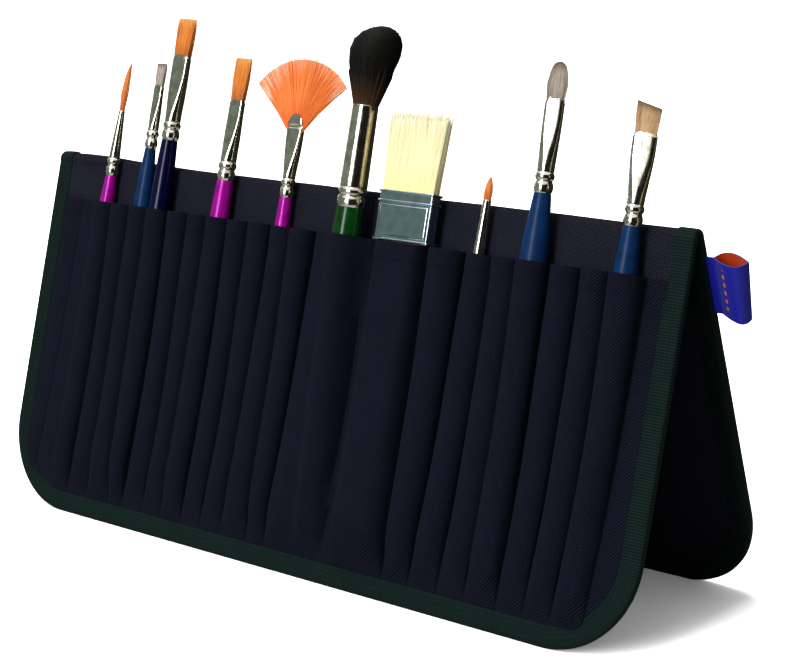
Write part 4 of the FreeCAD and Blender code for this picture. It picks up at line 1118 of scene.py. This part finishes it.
def makeBristle():
    base, top = bristle["seat"], bristle["seat"] + bristle["ferrule"]
    wide, deep = bristle["wide"], bristle["deep"]
    shell = boxPiece("bristle_ferruleTin", wide, deep, base - 0.5, top, tin, 0.5)
    pieces = []
    for low, high in ((base - 0.5, base + 0.8), (top - 4.9, top - 3.8), (top - 1.1, top)):  # rolled beads
        around = 2 * bristle["bead"]
        pieces.append(boxPiece("bead", wide + around, deep + around, low, high, tin, 0.5))
    pieces.append(boxPiece("plate", wide - 2.2, deep + 0.8, base + 1.4, top - 5.4, tin, 0.7))  # pressed panel
    joinInto(shell, *pieces)
    smooth(shell, 35)
    toBrush(shell, bristle, "bristle_brush", "bristle_ferrule")

    handle = boxPiece("bristle_handleFlat", bristle["shoulder"], bristle["thick"],
                      -buttToMouth + bristle["lift"], base + 0.3, beech, 1.2)
    for vertex in handle.data.vertices:  # tapers to its butt
        share = min(1.0, max(0.0, (base - vertex.co.z / mm) / (base + buttToMouth - bristle["lift"])))
        vertex.co.x *= 1 + (bristle["butt"] / bristle["shoulder"] - 1) * share
    smooth(handle, 40)
    toBrush(handle, bristle, "bristle_brush", "bristle_handle")

    local = random.Random("bristle")
    halfRoot, halfTip = wide / 2 - 0.6, bristle["spread"] / 2
    deepRoot, deepTip = deep / 2 - 0.6, bristle["tip"] / 2
    strands = []
    for _ in range(bristle["strands"]):
        u, v = local.uniform(-1, 1), local.uniform(-1, 1)
        if local.random() < 0.7:
            v = math.copysign(local.uniform(0.9, 1.0), v)
        end = bristle["hair"] * (1 - 0.07 * local.random() ** 2 - (0.06 if local.random() < 0.15 else 0))
        root = np.array([u * halfRoot, v * deepRoot, top - 0.5])
        tip = np.array([u * halfTip + local.uniform(-0.5, 0.5), v * deepTip + local.uniform(-0.3, 0.3),
                        top + end])
        bend = np.array([local.uniform(-0.3, 0.3), v * 0.1, 0])
        strands.append((root, tip, bend, local.uniform(0.13, 0.2) * mm, end / bristle["hair"]))
    hair = hairPiece("bristle_tuft", strands, hairLook["cream"])
    core = boxPiece("bristleCore", 2 * halfRoot, 2 * deepRoot, top - 2.5, top + bristle["hair"] * 0.93,
                    hairLook["cream"], 1.8)
    coreUv = []
    for vertex in core.data.vertices:
        t = max(0.0, (vertex.co.z / mm - top) / bristle["hair"])
        vertex.co.x *= 0.99 * (1 + (halfTip / halfRoot - 1) * t)
        vertex.co.y *= 0.99 * (1 + (deepTip / deepRoot - 1) * t)
        coreUv.append((vertex.co.x, t))
    setUv(core, coreUv)
    joinInto(hair, core)
    toBrush(hair, bristle, "bristle_brush", "bristle_hair")


makeBristle()
print("bristle brush")

studio = {
    "lamps": (("keyLight", (0.06, -1.52, 0.95), 25.0, (0.5, 1.5)),
              ("topLight", (-0.25, -0.2, 1.9), 16.0, (1.1, 1.1))),
    # paperGlow is the floor's glow near the object and far off: weaker near it, a painted shade round the
    # object
    "aim": (0, 0.04, 0.1), "ambient": 0.25, "bounce": 0.5, "paper": 2.6, "paperGlow": (0.06, 0.9),
    "glowFrom": 0.22, "glowTo": 0.6, "cameraTurn": 41.4, "flagNear": 0.3, "flagAway": 2.6, "flagLow": 0.003,
    "flagHigh": 2.2,
    "flags": (("left", 52, 140, "#76837a"), ("front", -46, 22, "#1d1c18"), ("warm", -58, -47, "#8f8352"),
              ("right", -165, -59, "#2b2b1e")),  # start and stop in degrees to the left of the camera
}


def bareTree(owner):  # node tree of a material or a world, emptied
    owner.use_nodes = True
    owner.node_tree.nodes.clear()
    return owner.node_tree


def makeStudio():
    deselectAll()
    bpy.ops.mesh.primitive_plane_add(size=8.0)
    floor = bpy.context.object
    floor.name = "studioFloor"
    material = bpy.data.materials.new("paperSweepWhite")  # the camera sees it white, with the shadow
    tree = bareTree(material)
    path = addNode(tree, "LightPath")
    bounce = addNode(tree, "BsdfDiffuse", Color=(studio["bounce"],) * 3 + (1,))
    paper = addNode(tree, "BsdfDiffuse", Color=(studio["paper"],) * 3 + (1,))
    place = addNode(tree, "TexCoord").outputs["Object"]
    away = addNode(tree, "VectorMath", {"operation": "LENGTH"}, at0=place).outputs["Value"]
    # painted shade: the glow is weak near the object and strong far off, so the floor round the object is
    # painted darker than the floor further away
    near, far = studio["paperGlow"]
    sweep = addNode(tree, "MapRange", {"interpolation_type": "SMOOTHSTEP"}, Value=away,
                    From_Min=studio["glowFrom"], From_Max=studio["glowTo"], To_Min=near,
                    To_Max=far)
    glow = addNode(tree, "Emission", Color=(1, 1, 1, 1), Strength=sweep)
    both = addNode(tree, "AddShader", at0=paper, at1=glow)
    out = addNode(tree, "MixShader", at0=path.outputs["Is Camera Ray"], at1=bounce, at2=both)
    addNode(tree, "OutputMaterial", Surface=out)
    floor.data.materials.append(material)

    world = bpy.data.worlds.new("studio")
    scene.world = world
    tree = bareTree(world)
    path = addNode(tree, "LightPath")
    seen = addNode(tree, "Math", {"operation": "MAXIMUM"}, at0=path.outputs["Is Camera Ray"],
                   at1=path.outputs["Is Glossy Ray"])
    seenToo = addNode(tree, "Math", {"operation": "MAXIMUM"}, at0=seen,
                      at1=path.outputs["Is Transmission Ray"])
    dim = addNode(tree, "Background", Color=(1, 1, 1, 1), Strength=studio["ambient"])
    white = addNode(tree, "Background", Color=(1, 1, 1, 1), Strength=1.0)
    out = addNode(tree, "MixShader", at0=seenToo, at1=dim, at2=white)
    addNode(tree, "OutputWorld", Surface=out)

    for name, start, stop, shade in studio["flags"]:  # dark and grey screens that the metal mirrors
        angles = np.radians(studio["cameraTurn"] - np.linspace(start, stop, 12))
        ring = np.stack([np.sin(angles), -np.cos(angles), np.zeros_like(angles)], -1)
        out, low = studio["flagAway"], studio["flagLow"]
        steps = ((studio["flagNear"], low), (out, low), (out, studio["flagHigh"]))
        points = np.array([ring * away + np.array([0, 0, high]) for away, high in steps])
        material = bpy.data.materials.new("feltScreen_" + name)
        tree = bareTree(material)
        glow = addNode(tree, "Emission", Color=linear(shade), Strength=1.0)
        addNode(tree, "OutputMaterial", Surface=glow)
        flag = gridSheet("studioFlag_" + name, points, points[..., :2], material)
        flag.visible_camera = flag.visible_diffuse = flag.visible_shadow = False

    for name, place, power, size in studio["lamps"]:
        data = bpy.data.lights.new(name, "AREA")
        data.shape = "RECTANGLE"
        data.size, data.size_y = size
        data.energy = power
        lamp = bpy.data.objects.new(name, data)
        scene.collection.objects.link(lamp)
        lamp.location = place
        lamp.rotation_euler = (Vector(studio["aim"]) - Vector(place)).to_track_quat("-Z", "Y").to_euler()


view = {"focal": 2118, "pictureWide": 800, "sensor": 36.0, "at": (0.5824, -0.5784, 0.2954),
        "ahead": (-0.6445, 0.7276, -0.2347), "right": (0.7529, 0.6574, -0.0296), "clip": (0.05, 50.0)}


def makeCamera():  # fitted to the front panel's edges in the photo
    data = bpy.data.cameras.new("photoCamera")
    data.sensor_width = view["sensor"]
    data.lens = view["focal"] / view["pictureWide"] * view["sensor"]
    camera = bpy.data.objects.new("photoCamera", data)
    scene.collection.objects.link(camera)
    ahead = Vector(view["ahead"]).normalized()
    right = Vector(view["right"])
    right = (right - ahead * right.dot(ahead)).normalized()
    up = right.cross(ahead)
    turn = Matrix((right, up, -ahead)).transposed().to_4x4()
    camera.matrix_world = Matrix.Translation(view["at"]) @ turn
    data.clip_start, data.clip_end = view["clip"]
    scene.camera = camera


makeStudio()
makeCamera()
print("studio and camera")
